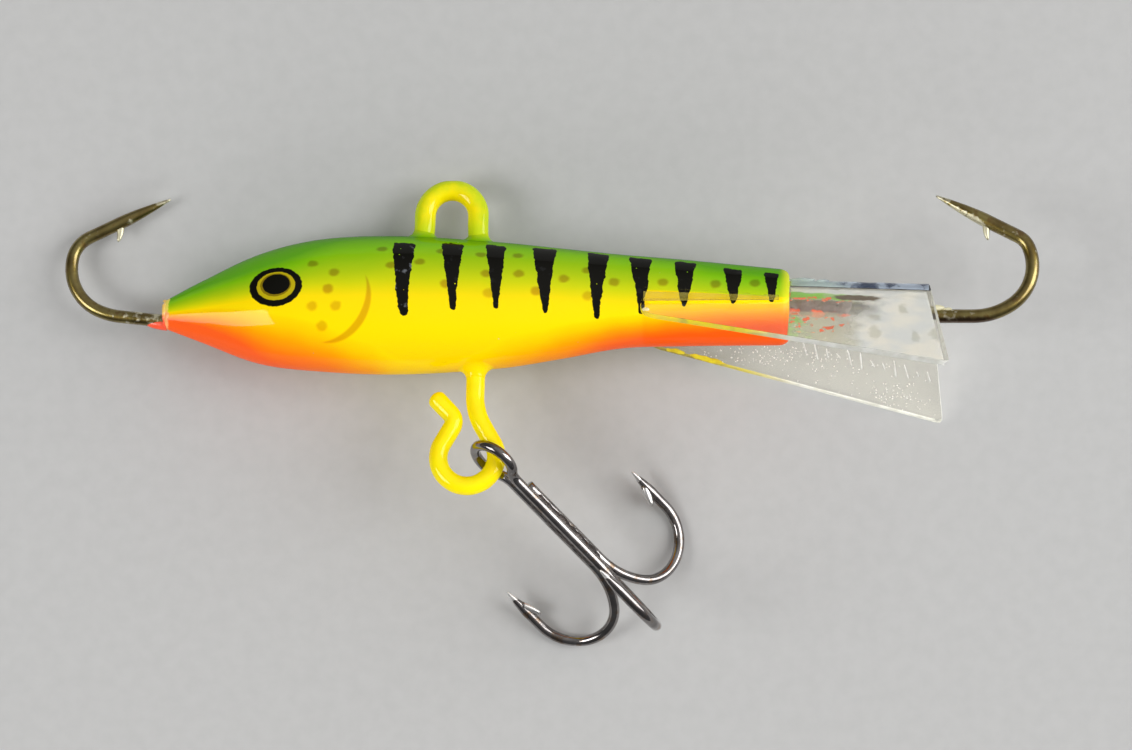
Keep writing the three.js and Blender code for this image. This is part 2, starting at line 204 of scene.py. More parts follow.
# Glue: in the slot, in beads by middle and half sizes, along the ridge and on the shank
SLOT_GLUE = {"front_reach": 0.8, "tail_reach": 0.3, "uneven": 0.12, "on_plate": 0.6, "sink": 0.015}
SLOT_GLUE |= {"gap": 0.05, "shortfall": 0.75, "rings": 40, "steps": 8}
BEAD_LUMPS = 0.25
GLUE_BEADS = [
    ((45.9, 1.86, 0.1), (0.95, 0.16, 0.3)),
    ((47.4, 1.8, 0.05), (0.5, 0.12, 0.22)),
    ((55.55, -0.26, 0.22), (0.45, 0.24, 0.26)),
    ((56.25, -0.36, 0.2), (0.3, 0.16, 0.2)),
    ((34.95, -1.35, 4.1), (0.26, 0.15, 0.16)),
]
RIDGE_BEAD = {"middle": 0.38, "half_width": 0.44, "uneven": 0.16, "flatness": 0.3, "gap": 0.1, "steps": 60}
SHANK_GLUE = {"start": -0.15, "length": 4.6, "thick": 0.34, "least": 0.02, "lumps": 0.22, "steps": 40}

RUN_STEP = 0.35
BEND_STEP = radians(4)
WIRE_SIDES = 28


# Small helpers


def shares(steps):
    """Even steps from 0 to 1."""
    return [i / steps for i in range(steps + 1)]


def turns(count):
    """Angles evenly round a circle."""
    return [2 * pi * i / count for i in range(count)]


def clamp(value, low=0.0, high=1.0):
    return min(max(value, low), high)


def distances(points):
    """How far along its line each point lies."""
    far = [0.0]
    for before, after in zip(points, points[1:]):
        far.append(far[-1] + (after - before).length)
    return far


def corner_curve(start, corner, end, steps):
    """A curve from start to end that is drawn towards the corner."""
    return [start * (1 - t) ** 2 + corner * (2 * t * (1 - t)) + end * t**2 for t in shares(steps)]


def lumps(size, closeness):
    """Smooth bumps for a tube's skin."""

    def rise(spot):
        return size * noise.noise(spot * closeness)

    return rise


# Shapes


class Wire:
    """A wire's centre line, laid as a wire former would, by straight runs and bends."""

    def __init__(self, start, heading):
        self.points = [Vector(start)]
        self.heading = Vector(heading).normalized()

    def run(self, length, steps=None):
        start = self.points[-1].copy()
        for share in shares(steps or max(1, ceil(length / RUN_STEP)))[1:]:
            self.points.append(start + self.heading * (length * share))
        return self

    def bend(self, radius, angle, axis):
        """Turns about an axis through a centre on the inner side of the bend."""
        centre = self.points[-1] + axis.cross(self.heading) * radius
        arm = self.points[-1] - centre
        for share in shares(max(1, ceil(angle / BEND_STEP)))[1:]:
            self.points.append(Matrix.Rotation(angle * share, 3, axis) @ arm + centre)
        self.heading = Matrix.Rotation(angle, 3, axis) @ self.heading
        return self

    def bends(self, pairs, axis):
        for radius, angle in pairs:
            self.bend(radius, radians(angle), axis)
        return self


def keep_inside(point):
    """Brings a point back to the frame's box, which is at most a few hundredths of a millimetre."""
    for axis in range(3):
        point[axis] = clamp(point[axis], cad_box[0][axis], cad_box[1][axis])


class Shape:
    """Points and faces of one mesh, in millimetres, with a number kept for each point."""

    def __init__(self):
        self.points = []
        self.faces = []
        self.notes = []

    def ring_grid(self, rings, notes=None, looped=False):
        """Joins rings of equally many points into a skin: looped, or with a fan at each end."""
        first = len(self.points)
        count = len(rings[0])
        total = len(rings) * count
        notes = notes or [0.0] * total
        self.points += [point for ring in rings for point in ring]
        self.notes += notes
        for r in range(len(rings) if looped else len(rings) - 1):
            for s in range(count):
                a = r * count + s
                b = r * count + (s + 1) % count
                self.faces.append([first + corner % total for corner in (a, b, b + count, a + count)])
        ends = () if looped else (0, len(rings) - 1)
        for r in ends:
            hub = len(self.points)
            self.points.append(sum(rings[r], Vector()) / count)
            self.notes.append(notes[r * count])
            for s in range(count):
                self.faces.append((first + r * count + s, first + r * count + (s + 1) % count, hub))

    def tube(self, points, radii, sides=WIRE_SIDES, across=None, flatness=1.0, note=None, wobble=None):
        """A round tube; flatness squeezes it in the direction that lies square to across."""
        ends = [points[0], *points, points[-1]]
        tangents = [(after - before).normalized() for before, after in zip(ends, ends[2:])]
        normal = Vector(across) if across is not None else tangents[0].orthogonal()
        rings = []
        notes = []
        for i, (point, tangent) in enumerate(zip(points, tangents)):
            normal = (normal - tangent * normal.dot(tangent)).normalized()
            other = tangent.cross(normal)
            ring = []
            for turn in turns(sides):
                out = normal * cos(turn) + other * (sin(turn) * flatness)
                spot = point + out * radii[i]
                if wobble:
                    spot += out * wobble(spot)
                ring.append(spot)
                notes.append(note(i, out) if note else 0.0)
            rings.append(ring)
        self.ring_grid(rings, notes)

    def spindle(self, start, end, steps, radius_at, **settings):
        """A tube on a straight line, whose radius depends on the share of the way."""
        line = [start.lerp(end, share) for share in shares(steps)]
        self.tube(line, [radius_at(share) for share in shares(steps)], **settings)

    def ball(self, detail, place):
        """A ball of radius 1, each of whose points goes where place says."""
        ball = bmesh.new()
        bmesh.ops.create_icosphere(ball, subdivisions=detail, radius=1)
        first = len(self.points)
        self.points += [place(vertex.co) for vertex in ball.verts]
        self.notes += [0.0] * len(ball.verts)
        self.faces += [[first + vertex.index for vertex in face.verts] for face in ball.faces]
        ball.free()

    def piece(self, name, place, material, slot, note_name=None, shadow=True):
        """Makes the object, laid down in metres and inside the frame's box."""
        mesh = bpy.data.meshes.new(name)
        laid = [place @ point for point in self.points]
        for point in laid:
            keep_inside(point)
        mesh.from_pydata(laid, [], self.faces)
        work = bmesh.new()
        work.from_mesh(mesh)
        bmesh.ops.recalc_face_normals(work, faces=work.faces)
        work.to_mesh(mesh)
        work.free()
        mesh.polygons.foreach_set("use_smooth", [True] * len(mesh.polygons))
        if note_name:
            notes = mesh.attributes.new(note_name, "FLOAT", "POINT")
            notes.data.foreach_set("value", self.notes)
        return finished(name, mesh, material, shadow)


def finished(name, mesh, material, shadow=True):
    """An object at the origin that rides on the jig and wears its material."""
    piece = bpy.data.objects.new(name, mesh)
    bpy.context.scene.collection.objects.link(piece)
    mesh.materials.append(material)
    piece.visible_shadow = shadow
    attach(piece, "root")
    return piece


# Nodes


def sign(operation, turned=False):
    """What a sign between two values adds to the nodes."""

    def work(one, other):
        pair = (other, one) if turned else (one, other)
        return one.nodes.math(operation, *pair)

    return work


class Value:
    """What a node gives. Signs such as + and * between values add further nodes."""

    def __init__(self, nodes, socket):
        self.nodes = nodes
        self.socket = socket

    __add__ = __radd__ = sign("ADD")
    __mul__ = __rmul__ = sign("MULTIPLY")
    __sub__ = sign("SUBTRACT")
    __rsub__ = sign("SUBTRACT", turned=True)
    __truediv__ = sign("DIVIDE")

    def __abs__(self):
        return self.math("ABSOLUTE")

    def math(self, operation, *others):
        return self.nodes.math(operation, self, *others)

    def between(self, low, high):
        """Rises smoothly from 0 at low to 1 at high, or falls where high is the lower."""
        ends = {"From Min": min(low, high), "From Max": max(low, high)}
        ends |= {"To Min": float(high < low), "To Max": float(high > low), "Value": self}
        return self.nodes.add("ShaderNodeMapRange", "Result", ends, interpolation_type="SMOOTHSTEP")


class Nodes:
    """A tree of nodes, whose methods take values or plain numbers."""

    def __init__(self, owner):
        owner.use_nodes = True
        self.tree = owner.node_tree

    def give(self, value, socket):
        """Links a value, or sets a plain number or colour."""
        if isinstance(value, Value):
            self.tree.links.new(value.socket, socket)
        else:
            socket.default_value = value

    def add(self, kind, output=0, inputs=None, **settings):
        """Adds a node with its inputs and settings, and gives one of its outputs."""
        node = self.tree.nodes.new(kind)
        for key, value in settings.items():
            setattr(node, key, value)
        for key, value in (inputs or {}).items():
            self.give(value, node.inputs[key])
        return Value(self, node.outputs[output])

    def math(self, operation, *values):
        return self.add("ShaderNodeMath", inputs=dict(enumerate(values)), operation=operation)

    def ramp(self, value, stops):
        """A colour for a number from 0 to 1, by stops of place and colour."""
        ramp = self.add("ShaderNodeValToRGB", "Color", {"Fac": value})
        elements = ramp.socket.node.color_ramp.elements
        while len(elements) < len(stops):
            elements.new(1.0)
        for element, (place, colour) in zip(elements, stops):
            element.position = place
            element.color = colour
        return ramp


class Paint(Nodes):
    """One material: coats of colour over each other, relief and gloss."""

    def __init__(self, name, in_jig=True):
        self.material = bpy.data.materials.new(name)
        super().__init__(self.material)
        self.surface = self.tree.nodes["Principled BSDF"]
        self.colour = None
        self.place = self.add("ShaderNodeTexCoord", "Object")
        if in_jig:
            shift, turn, size = JIG.inverted().decompose()
            frame_of_jig = {"Location": shift, "Rotation": turn.to_euler("XYZ"), "Scale": size}
            self.place = self.add("ShaderNodeMapping", "Vector", {"Vector": self.place, **frame_of_jig})

    def parts(self, vector):
        first = self.add("ShaderNodeSeparateXYZ", inputs={0: vector})
        return [Value(self, output) for output in first.socket.node.outputs]

    def note(self, name):
        return self.add("ShaderNodeAttribute", "Fac", attribute_name=name)

    def mix(self, share, one, other, blend="MIX"):
        colours = {0: share, 6: one, 7: other}
        return self.add("ShaderNodeMix", 2, colours, data_type="RGBA", blend_type=blend)

    def coat(self, share, colour):
        """Lays a colour over what is there."""
        self.colour = self.mix(share, self.colour, colour)

    def tint(self, share, tint):
        """Darkens what is there, as thin ink does."""
        self.colour = self.mix(share, self.colour, tint, "MULTIPLY")

    def curve(self, value, pairs):
        """A number that follows a smooth curve through pairs, over the casting's length."""
        curve = self.add("ShaderNodeFloatCurve", "Value", {"Value": value * (1 / BODY_LENGTH)})
        mapping = curve.socket.node.mapping
        mapping.use_clip = False
        points = mapping.curves[0].points
        while len(points) < len(pairs):
            points.new(0.5, 0.5)
        for point, (at, height) in zip(points, pairs):
            point.location = (at / BODY_LENGTH, height)
        mapping.update()
        return curve

    def noise(self, scale, detail=2.0):
        """Cloudy noise around 0, about half a unit each way."""
        settings = {"Scale": scale, "Detail": detail, "Vector": self.place}
        return self.add("ShaderNodeTexNoise", "Fac", settings) - 0.5

    def specks(self, scale, size, share):
        """Round specks: 1 inside, in this share of the cells."""
        near = self.add("ShaderNodeTexVoronoi", "Distance", {"Scale": scale, "Vector": self.place})
        chance = self.parts(Value(self, near.socket.node.outputs["Color"]))[0]
        return chance.math("LESS_THAN", share) * near.between(size, size * 0.6)

    def relief(self, height, rise):
        """Raises the look of the surface by height times a rise in millimetres."""
        bump = self.add("ShaderNodeBump", "Normal", {"Distance": rise * MM, "Height": height})
        self.give(bump, self.surface.inputs["Normal"])

    def finish(self, **values):
        """Gives the colour and the gloss to the surface: coat_weight is Coat Weight."""
        self.give(self.colour, self.surface.inputs["Base Color"])
        for key, value in values.items():
            self.give(value, self.surface.inputs[key.replace("_", " ").title().replace("Ior", "IOR")])
        return self.material


def rgb(red, green, blue):
    """A colour as the shader takes it, from its three bytes as seen."""
    seen = [value / 255 for value in (red, green, blue)]
    return tuple(s / 12.92 if s <= 0.04045 else ((s + 0.055) / 1.055) ** 2.4 for s in seen) + (1,)


def largest(*values):
    whole = values[0]
    for value in values[1:]:
        whole = whole.math("MAXIMUM", value)
    return whole


def reach_of(across, along):
    return (across * across + along * along).math("SQRT")


def oval(x, y, centre, reach):
    """1 on an ellipse's edge, 0 at its centre."""
    return reach_of((x - centre[0]) / reach[0], (y - centre[1]) / reach[1])


# The casting's paint

BLACK = rgb(13, 12, 7)
YELLOW = rgb(255, 222, 2)
GREENS = [
    (0.0, YELLOW),
    (0.25, rgb(206, 212, 8)),
    (0.42, rgb(176, 202, 12)),
    (0.6, rgb(150, 196, 16)),
    (0.75, rgb(130, 194, 12)),
    (1.0, rgb(94, 170, 8)),
]
ORANGES = [
    (0.0, YELLOW),
    (0.3, rgb(255, 198, 0)),
    (0.55, rgb(255, 160, 2)),
    (0.8, rgb(255, 122, 18)),
    (1.0, rgb(255, 97, 32)),
]
BELLY_AMBER = rgb(240, 184, 4)
# Painted shade along the top of the back
BACK_SHADE_GREEN = rgb(58, 112, 14)
TAIL_RIM = rgb(226, 220, 40)
COLLAR_LOW = rgb(255, 176, 112)
COLLAR_HIGH = rgb(240, 222, 96)
SPOT_TINT = (0.64, 0.43, 0.4, 1)
GILL_TINT = (0.72, 0.52, 0.8, 1)
UNDER_PLATE_TINT = (1.0, 0.88, 0.3, 1)
GLINT = rgb(120, 124, 130)
DUST = rgb(236, 226, 190)
LACQUERED = {"roughness": 0.5, "specular_ior_level": 0.0, "coat_ior": 1.43}
COLLAR = 0.3

# Heights of the colours along the casting, as shares of its half height: 1 on the back and -1 on the belly
LIME_HEIGHT = [(0, 0.02), (5, 0.08), (14, 0.15), (26, 0.17), (33, 0.04), (39, -0.02), (42, -0.1), (45, 0)]
GREEN_HEIGHT = [(0, 0.5), (5, 0.4), (14, 0.64), (24, 0.78), (30, 0.76), (36, 0.66), (42, 0.42), (45, 0.45)]
GOLD_HEIGHT = [
    (0, -0.06), (5, -0.12), (8, -0.25), (11.7, -0.45), (15, -0.66),
    (20, -0.9), (26, -0.6), (33, -0.46), (45, -0.1),
]
ORANGE_HEIGHT = [
    (0, -0.5), (5, -0.74), (8, -0.98), (11.7, -1.1), (15, -1.28),
    (20, -1.5), (26, -1.35), (33, -0.98), (45, -0.72),
]

# Bars: left and right end of the top, its height, and the tip
BARS = [
    (16.75, 18.31, 3.98, 17.73, -1.67),
    (20.21, 21.74, 3.97, 21.27, -1.25),
    (23.38, 24.79, 3.92, 24.33, -1.1),
    (26.73, 28.38, 3.78, 27.78, -1.33),
    (30.6, 32.13, 3.47, 31.39, -1.6),
    (33.63, 35.18, 3.14, 34.59, -1.2),
    (36.85, 38.34, 2.82, 37.56, -0.95),
    (40.38, 41.68, 2.25, 41.07, -0.7),
    (43.26, 44.27, 1.94, 43.76, -0.5),
]
BAR_TIP = 0.12
FIRST_BAR_TIP = 0.25
BAR_CORNER = 0.34
BAR_TOP_SLOPE = 0.1
BAR_SWELL = 0.04
SPOTS = [
    (11.09, 2.22), (12.7, 1.48), (12.31, 0.24), (11.19, -0.99), (12.91, -0.98), (11.9, -2.36),
    (15.97, 3.4), (16.74, 2.01), (18.77, 2.31), (20.26, 3.27), (20.69, 0.6), (23.08, 3.01),
    (23.54, 1.44), (23.77, -0.03), (25.68, 3.0), (25.86, 1.47), (27.11, 0.18), (29.04, 1.19),
    (30.7, 1.9), (30.75, -0.05), (32.6, 1.04), (36.05, 1.06), (39.79, 0.97), (42.56, 1.09),
]
SPOT_RADIUS = 0.36
SPOT_FLATTENING = 0.12
SPOT_WIDENING = 1.08
LOW_SPOT_SHARE = 0.72
GILL = {"centre": (11.95, -0.1), "radius": 3.3, "width": 0.3}
GILL |= {"middle": radians(-34), "reach": radians(62)}
EYE_RINGS = [
    ((8.48, 0.54), (1.94, 1.48), BLACK),
    ((8.5, 0.58), (1.42, 1.08), rgb(188, 170, 14)),
    ((8.48, 0.66), (1.14, 0.88), rgb(132, 112, 8)),
    ((8.52, 0.7), (1.02, 0.77), BLACK),
]
SHELTERED = {"front": 34.7, "height": 0.055, "share": 0.6}


def bar_mask(x, y, bar):
    """How far inside a bar a point lies; a bar narrows from its top to a blunt tip."""
    left, right, top, tip_x, tip_y = bar
    centre = (left + right) / 2
    half = (right - left) / 2
    tip = FIRST_BAR_TIP if bar == BARS[0] else BAR_TIP
    fall = largest((top - y) / (top - tip_y), 0)
    middle = fall * (tip_x - centre) + centre
    width = half - fall * (half - tip)
    upper_edge = (centre - x) * BAR_TOP_SLOPE + top
    ends = (upper_edge - y).math("MINIMUM", y - tip_y)
    return (width - abs(x - middle)).math("SMOOTH_MIN", ends, BAR_CORNER) + BAR_SWELL


def gill_mask(x, y):
    """A crescent: an arc that is widest in its middle."""
    dx = x - GILL["centre"][0]
    dy = y - GILL["centre"][1]
    off = abs(reach_of(dx, dy) - GILL["radius"])
    turn = (dy.math("ARCTAN2", dx) - GILL["middle"]) / GILL["reach"]
    width = largest(1 - turn * turn, 0) * GILL["width"]
    return abs(turn).between(1.0, 0.85) * (width - off).between(-0.06, 0.14)


def spray(paint, x, height):
    """Green back with painted shade on top, yellow flank and orange belly, the flank yellower where the fin
    sheltered it.
    """
    sprayed = height + paint.noise(0.35) * 0.1
    lime = paint.curve(x, LIME_HEIGHT)
    green = paint.curve(x, GREEN_HEIGHT)
    greenness = (sprayed - lime) / (green - lime) * 0.5 + 0.25
    under_plate = x.between(SHELTERED["front"] - 0.25, SHELTERED["front"] + 0.1)
    under_plate *= height.between(SHELTERED["height"] + 0.012, SHELTERED["height"] - 0.012)
    paint.colour = paint.ramp(greenness * (1 - under_plate * SHELTERED["share"]), GREENS)
    paint.coat(height.between(-0.45, -1.0) * 0.35, BELLY_AMBER)
    gold = paint.curve(x, GOLD_HEIGHT)
    orange = paint.curve(x, ORANGE_HEIGHT)
    orangeness = (gold - sprayed) / (gold - orange)
    paint.coat(orangeness.between(0.0, 0.12), paint.ramp(orangeness, ORANGES))
    paint.tint(under_plate, UNDER_PLATE_TINT)
    # Painted shade: a darker green along the top of the back
    paint.coat(height.between(0.8, 1.0) * 0.5, BACK_SHADE_GREEN)
    paint.coat(x.between(44.2, 44.9) * height.between(-0.4, 0.0) * 0.7, TAIL_RIM)


def draw_spots(paint, x, y):
    """Soft brown spots with ragged edges, fainter low on the flank."""
    soft_x = x + paint.noise(2.2, 3.0) * 0.2
    soft_y = y + paint.noise(1.7, 3.0) * 0.2
    spots = []
    for spot in SPOTS:
        tall = SPOT_RADIUS * (1 - SPOT_FLATTENING * max(spot[1], 0))
        inside = oval(soft_x, soft_y, spot, (SPOT_RADIUS * SPOT_WIDENING, tall)).between(1.32, 0.6)
        spots.append(inside * (1.0 if spot[1] > 0 else LOW_SPOT_SHARE))
    paint.tint(largest(*spots) * 0.85, SPOT_TINT)


def draw_bars(paint, x, y, ragged):
    """Black bars with small chips, and glints that are strongest in the first. Gives the inked places."""
    bars = largest(*[bar_mask(x, y, bar) for bar in BARS]) + (ragged + paint.noise(1.3) * 0.3)
    inked = bars.between(-0.015, 0.025) * (1 - paint.specks(2.2, 0.13, 0.12))
    paint.coat(inked, BLACK)
    first_bar = x.between(BARS[0][1] + 0.4, BARS[0][1] + 0.2)
    paint.coat(inked * paint.noise(1.5, 5.0).between(0.1, 0.2) * (first_bar * 0.6 + 0.04), GLINT)
    return inked


def draw_eye(paint, x, y):
    edge = paint.noise(3.4, 4.0) * 0.1
    for centre, reach, ink in EYE_RINGS:
        paint.coat((oval(x, y, centre, reach) + edge).between(1.02, 0.98), ink)


def jig_paint():
    """Sprayed perch colours with black bars, spots, a gill and an eye, under gloss lacquer."""
    paint = Paint("jig_paint")
    x, y, _ = paint.parts(paint.place)
    spray(paint, x, paint.note("height"))
    draw_spots(paint, x, y)
    paint.tint(gill_mask(x, y) * 0.9, GILL_TINT)
    ragged = paint.noise(4.2, 4.0) * 0.13
    inked = draw_bars(paint, x, y, ragged)
    draw_eye(paint, x, y)
    collar = (x + paint.noise(2.0, 4.0) * 0.6).between(COLLAR + 0.06, COLLAR - 0.06)
    paint.coat(collar, paint.mix((y + ragged).between(-0.75, -0.35), COLLAR_LOW, COLLAR_HIGH))
    dust = paint.specks(0.9, 0.05, 0.25)
    paint.coat(dust * 0.6, DUST)
    peel = paint.noise(0.9) + paint.noise(7.0) * 0.12
    paint.relief(peel + (inked * 0.6 + largest(dust, collar) * 1.5), 0.02)
    return paint.finish(coat_weight=0.42, coat_roughness=0.05, **LACQUERED)


# Other materials

# Darker brown on the underside of the tail hook's shank
BROWN_BAND = {"front": 54.5, "rear": 61.5, "top": -0.85}
BROWN_BAND_COLOUR = rgb(74, 46, 22)
DIRT_TINT = (0.6, 0.44, 0.3, 1)

# Places on the haze: distance from the nose, distance from the ridge, and half sizes
SMUDGES = [
    ((51.0, 4.9), (0.55, 0.5)),
    ((51.0, 7.4), (0.42, 1.2)),
    ((53.8, 7.6), (0.3, 1.0)),
    ((55.4, 7.3), (0.6, 1.3)),
    ((49.2, 6.6), (0.9, 1.1)),
    ((53.0, 3.6), (0.35, 0.8)),
]
TORN = ((46.9, 6.2), (2.6, 1.5))
TORN_EDGE = 2.35
SHANK_SEEN = ((49.8, 1.95), (1.7, 0.42))
SHANK_OPENING = 3.5


def wire_paint():
    """Yellow paint, limed by the green spray on the outer side of the loop."""
    paint = Paint("wire_paint")
    x, y, _ = paint.parts(paint.place)
    across = x - LOOP_MIDDLE_X
    above = y.between(LOOP_CENTRE_Y - 0.3, LOOP_CENTRE_Y + 0.3)
    from_loop = reach_of(across, y - LOOP_CENTRE_Y) * above + abs(across) * (1 - above)
    outer = (from_loop + paint.noise(1.2)).between(LOOP_RADIUS - 0.6, LOOP_RADIUS + 0.55)
    limed = y.between(1.0, 3.0) * largest(outer, y.between(7.4, 5.2))
    paint.colour = paint.mix(paint.noise(0.8).between(-0.2, 0.3), rgb(255, 236, 6), rgb(255, 226, 6))
    paint.coat(limed * 0.9, rgb(190, 214, 20))
    paint.relief(paint.noise(1.1), 0.05)
    return paint.finish(coat_weight=0.7, coat_roughness=0.06, **LACQUERED)


def torn_paint():
    """Thick paint at the nose: yellow on top and orange below."""
    paint = Paint("torn_paint")
    _, y, _ = paint.parts(paint.place)
    ragged = y + paint.noise(2.5, 3.0) * 0.9
    paint.colour = paint.mix(ragged.between(-1.25, -0.75), rgb(255, 84, 40), rgb(252, 206, 96))
    chalky = paint.noise(3.2, 4.0).between(0.0, 0.12) * y.between(-1.2, -0.6)
    paint.coat(chalky * 0.75, rgb(255, 236, 206))
    paint.relief(paint.noise(5.0, 4.0), 0.08)
    return paint.finish(roughness=0.4, coat_weight=0.6, coat_roughness=0.15)


def hook_metal(name, dark, light, bare_and_sheen, roughness, lacquer):
    """Plated hook wire, scuffed here and there, worn pale where the point and barb were cut, partly as painted
    highlight.
    """
    paint = Paint(name)
    x, y, _ = paint.parts(paint.place)
    worn = (paint.noise(2.2, 5.0) + paint.note("wear_and_sheen") * 0.6).between(0.16, 0.36)
    dirt = paint.noise(1.4, 5.0).between(0.02, 0.2)
    paint.colour = paint.mix(paint.noise(0.7, 3.0).between(-0.25, 0.25), dark, light)
    paint.tint(dirt, DIRT_TINT)
    # Worn pale metal; on the inner side of single hooks this is partly a painted highlight
    paint.coat(worn, bare_and_sheen)
    # Darker brown over the underside of the tail hook's shank
    brown_band = x.between(BROWN_BAND["front"], BROWN_BAND["front"] + 0.8) * x.between(BROWN_BAND["rear"], BROWN_BAND["rear"] - 2)
    brown_band *= (y + paint.noise(2.0, 4.0) * 0.5).between(BROWN_BAND["top"], BROWN_BAND["top"] - 0.3)
    paint.coat(brown_band * 0.9, BROWN_BAND_COLOUR)
    paint.relief(paint.noise(3.0) * 0.3 + worn * 0.6, 0.01)
    rough = dirt * 0.16 + worn * 0.2 + roughness
    return paint.finish(roughness=rough, metallic=1.0, coat_weight=lacquer, coat_roughness=0.1)


def braze_metal():
    """Dark pitted braze between the treble's shanks."""
    paint = Paint("braze")
    pits = paint.specks(2.6, 0.2, 0.4)
    paint.colour = paint.mix(pits, rgb(88, 82, 80), rgb(36, 31, 30))
    paint.relief(paint.noise(3.5, 4.0) - pits * 0.7, 0.1)
    return paint.finish(metallic=1.0, roughness=0.3)


def clear_plastic():
    """Clear moulded plastic with faint waves."""
    paint = Paint("clear_plastic")
    paint.colour = rgb(238, 236, 228)
    paint.relief(paint.noise(0.5), 0.02)
    return paint.finish(roughness=0.04, transmission_weight=1.0, ior=1.3)


def frosted_edge():
    """The plates' frosted rims, yellow next to the casting from paint on them and a painted glow of the
    casting's paint.
    """
    paint = Paint("frosted_edge")
    x, _, _ = paint.parts(paint.place)
    # Yellow near the casting: partly paint on the rim, partly a painted glow of the casting's paint carried in
    # the plastic
    paint.colour = paint.mix(x.between(46.0, 41.5), rgb(244, 244, 238), rgb(232, 216, 28))
    paint.coat(paint.noise(1.3, 3.0).between(-0.2, 0.2) * 0.3, rgb(160, 158, 130))
    paint.relief(paint.noise(5.0, 3.0), 0.03)
    return paint.finish(roughness=0.3, alpha=0.8)


def ridge_glue():
    """Bluish ridge glue with painted dark streaks to the rear, and yellowish beads past its ends, partly
    painted highlight.
    """
    paint = Paint("ridge_glue")
    x, _, _ = paint.parts(paint.place)
    rearwards = (x + paint.noise(1.1, 3.0) * 4.0).between(47.5, 50.0)
    paint.colour = paint.mix(rearwards, rgb(186, 202, 200), rgb(176, 188, 204))
    # Painted shade: dark bluish streaks for the dark seen through the ridge towards the rear
    paint.coat(rearwards * paint.noise(0.8, 5.0).between(-0.02, 0.08), rgb(66, 78, 102))
    # Pale yellowish beyond the ends: partly the glue's tint, partly a painted highlight
    paint.coat(largest(x.between(55.1, 55.3), x.between(40.0, 38.0)), rgb(232, 226, 186))
    paint.relief(paint.noise(2.0, 3.0), 0.05)
    return paint.finish(roughness=0.12, alpha=0.55)


def haze_film():
    """Milky haze inside the upper plate; next to the casting, smeared paint and a painted reflection of the
    casting's paint.
    """
    paint = Paint("haze_film")
    x, _, _ = paint.parts(paint.place)
    out = paint.note("from_ridge")
    clouds = paint.noise(0.5, 3.0)
    streaks = paint.noise(1.5, 4.0)
    past = (x - (51.9 - out * 0.32)) + clouds * 3.6
    milky = past.between(-1.3, 1.5) * (out + clouds).between(0.9, 2.2)

    soft_x = x + streaks * 0.9
    soft_out = out + clouds * 1.6
    smudged = largest(*[oval(soft_x, soft_out, *spot).between(1.25, 0.5) for spot in SMUDGES])
    paint.colour = paint.mix(clouds.between(-0.15, 0.2), rgb(232, 236, 242), rgb(252, 250, 246))
    paint.coat(smudged * 0.32, rgb(164, 160, 128))

    drift_x = x + (streaks * 4.0 + clouds * 5.0)
    drift_out = out + paint.noise(0.9, 4.0) * 2.4
    crest = soft_out.between(0.3, 0.7) * soft_out.between(2.1, 1.5)
    leafy = soft_out.between(1.3, 1.6) * drift_out.between(3.0, 2.3) * drift_x.between(51.0, 47.5)
    green = largest(leafy, drift_out.between(4.6, 5.8) * drift_x.between(47.6, 43.6))
    # Green: partly paint smeared on the film, partly a painted reflection of the casting's paint
    paint.coat(green, rgb(142, 208, 68))
    # Ochre: partly smeared paint, partly a painted reflection of the casting's yellow
    ochre = (x + clouds * 4.0).between(50.0, 47.5) * 0.5
    paint.coat(ochre * (1 - largest(green, crest)), rgb(206, 196, 96))

    grit = paint.noise(2.6, 6.0)
    flecked = oval(x, drift_out, *TORN).between(1.1, 0.8) * paint.noise(1.7, 6.0).between(0.05, 0.1)
    along_shank = abs(out + grit * 2.0 - TORN_EDGE).between(0.3, 0.22)
    along_shank *= drift_x.between(50.0, 48.5) * streaks.between(-0.06, 0.02)
    torn = largest(flecked, along_shank)
    paint.coat(torn, rgb(255, 108, 48))
    brown = oval(soft_x, out + grit * 0.7, *SHANK_SEEN).between(1.15, 0.85)
    paint.coat(brown, rgb(92, 72, 44))

    veil = milky * (0.72 - smudged * 0.12) + 0.14
    cover = largest(veil, green * 0.85, torn * 0.92, ochre * 0.5, crest * 0.6, brown * 0.85)
    over_shank = abs(out - SHANK_OPENING).between(1.15, 0.75) * (x + streaks * 2.0).between(49.6, 48.2)
    return paint.finish(roughness=0.45, alpha=cover * (1 - over_shank * (0.95 - torn)))


def plain_finish(name, colour, variation, roughness, patches=2.0, grain=(4.0, 3.0, 0.05), alpha=1.0):
    """A small part's finish: one colour that drifts into another in patches, with a fine grain."""
    paint = Paint(name)
    paint.colour = paint.mix(paint.noise(patches, 3.0).between(-0.3, 0.3), colour, variation)
    scale, detail, rise = grain
    paint.relief(paint.noise(scale, detail), rise)
    return paint.finish(roughness=roughness, alpha=alpha)


def shank_finish():
    """Grey glue and lead on the shank, edged with orange paint."""
    paint = Paint("shank_glue")
    x, y, _ = paint.parts(paint.place)
    axis = SHANK_AT_TAIL_Y - (x - BODY_LENGTH) * TAIL_FALL
    off = abs(y - axis) + paint.noise(1.6, 4.0) * 0.5
    pits = paint.specks(2.4, 0.22, 0.4)
    paint.colour = paint.mix(pits, rgb(122, 106, 102), rgb(46, 38, 36))
    paint.coat(paint.specks(3.1, 0.18, 0.35), rgb(220, 214, 206))
    paint.coat(off.between(0.4, 0.5) * paint.noise(1.4, 5.0).between(-0.04, 0.04), rgb(244, 96, 44))
    paint.relief(paint.noise(3.0, 4.0) - pits * 0.6, 0.15)
    return paint.finish(roughness=0.4)


# Casting


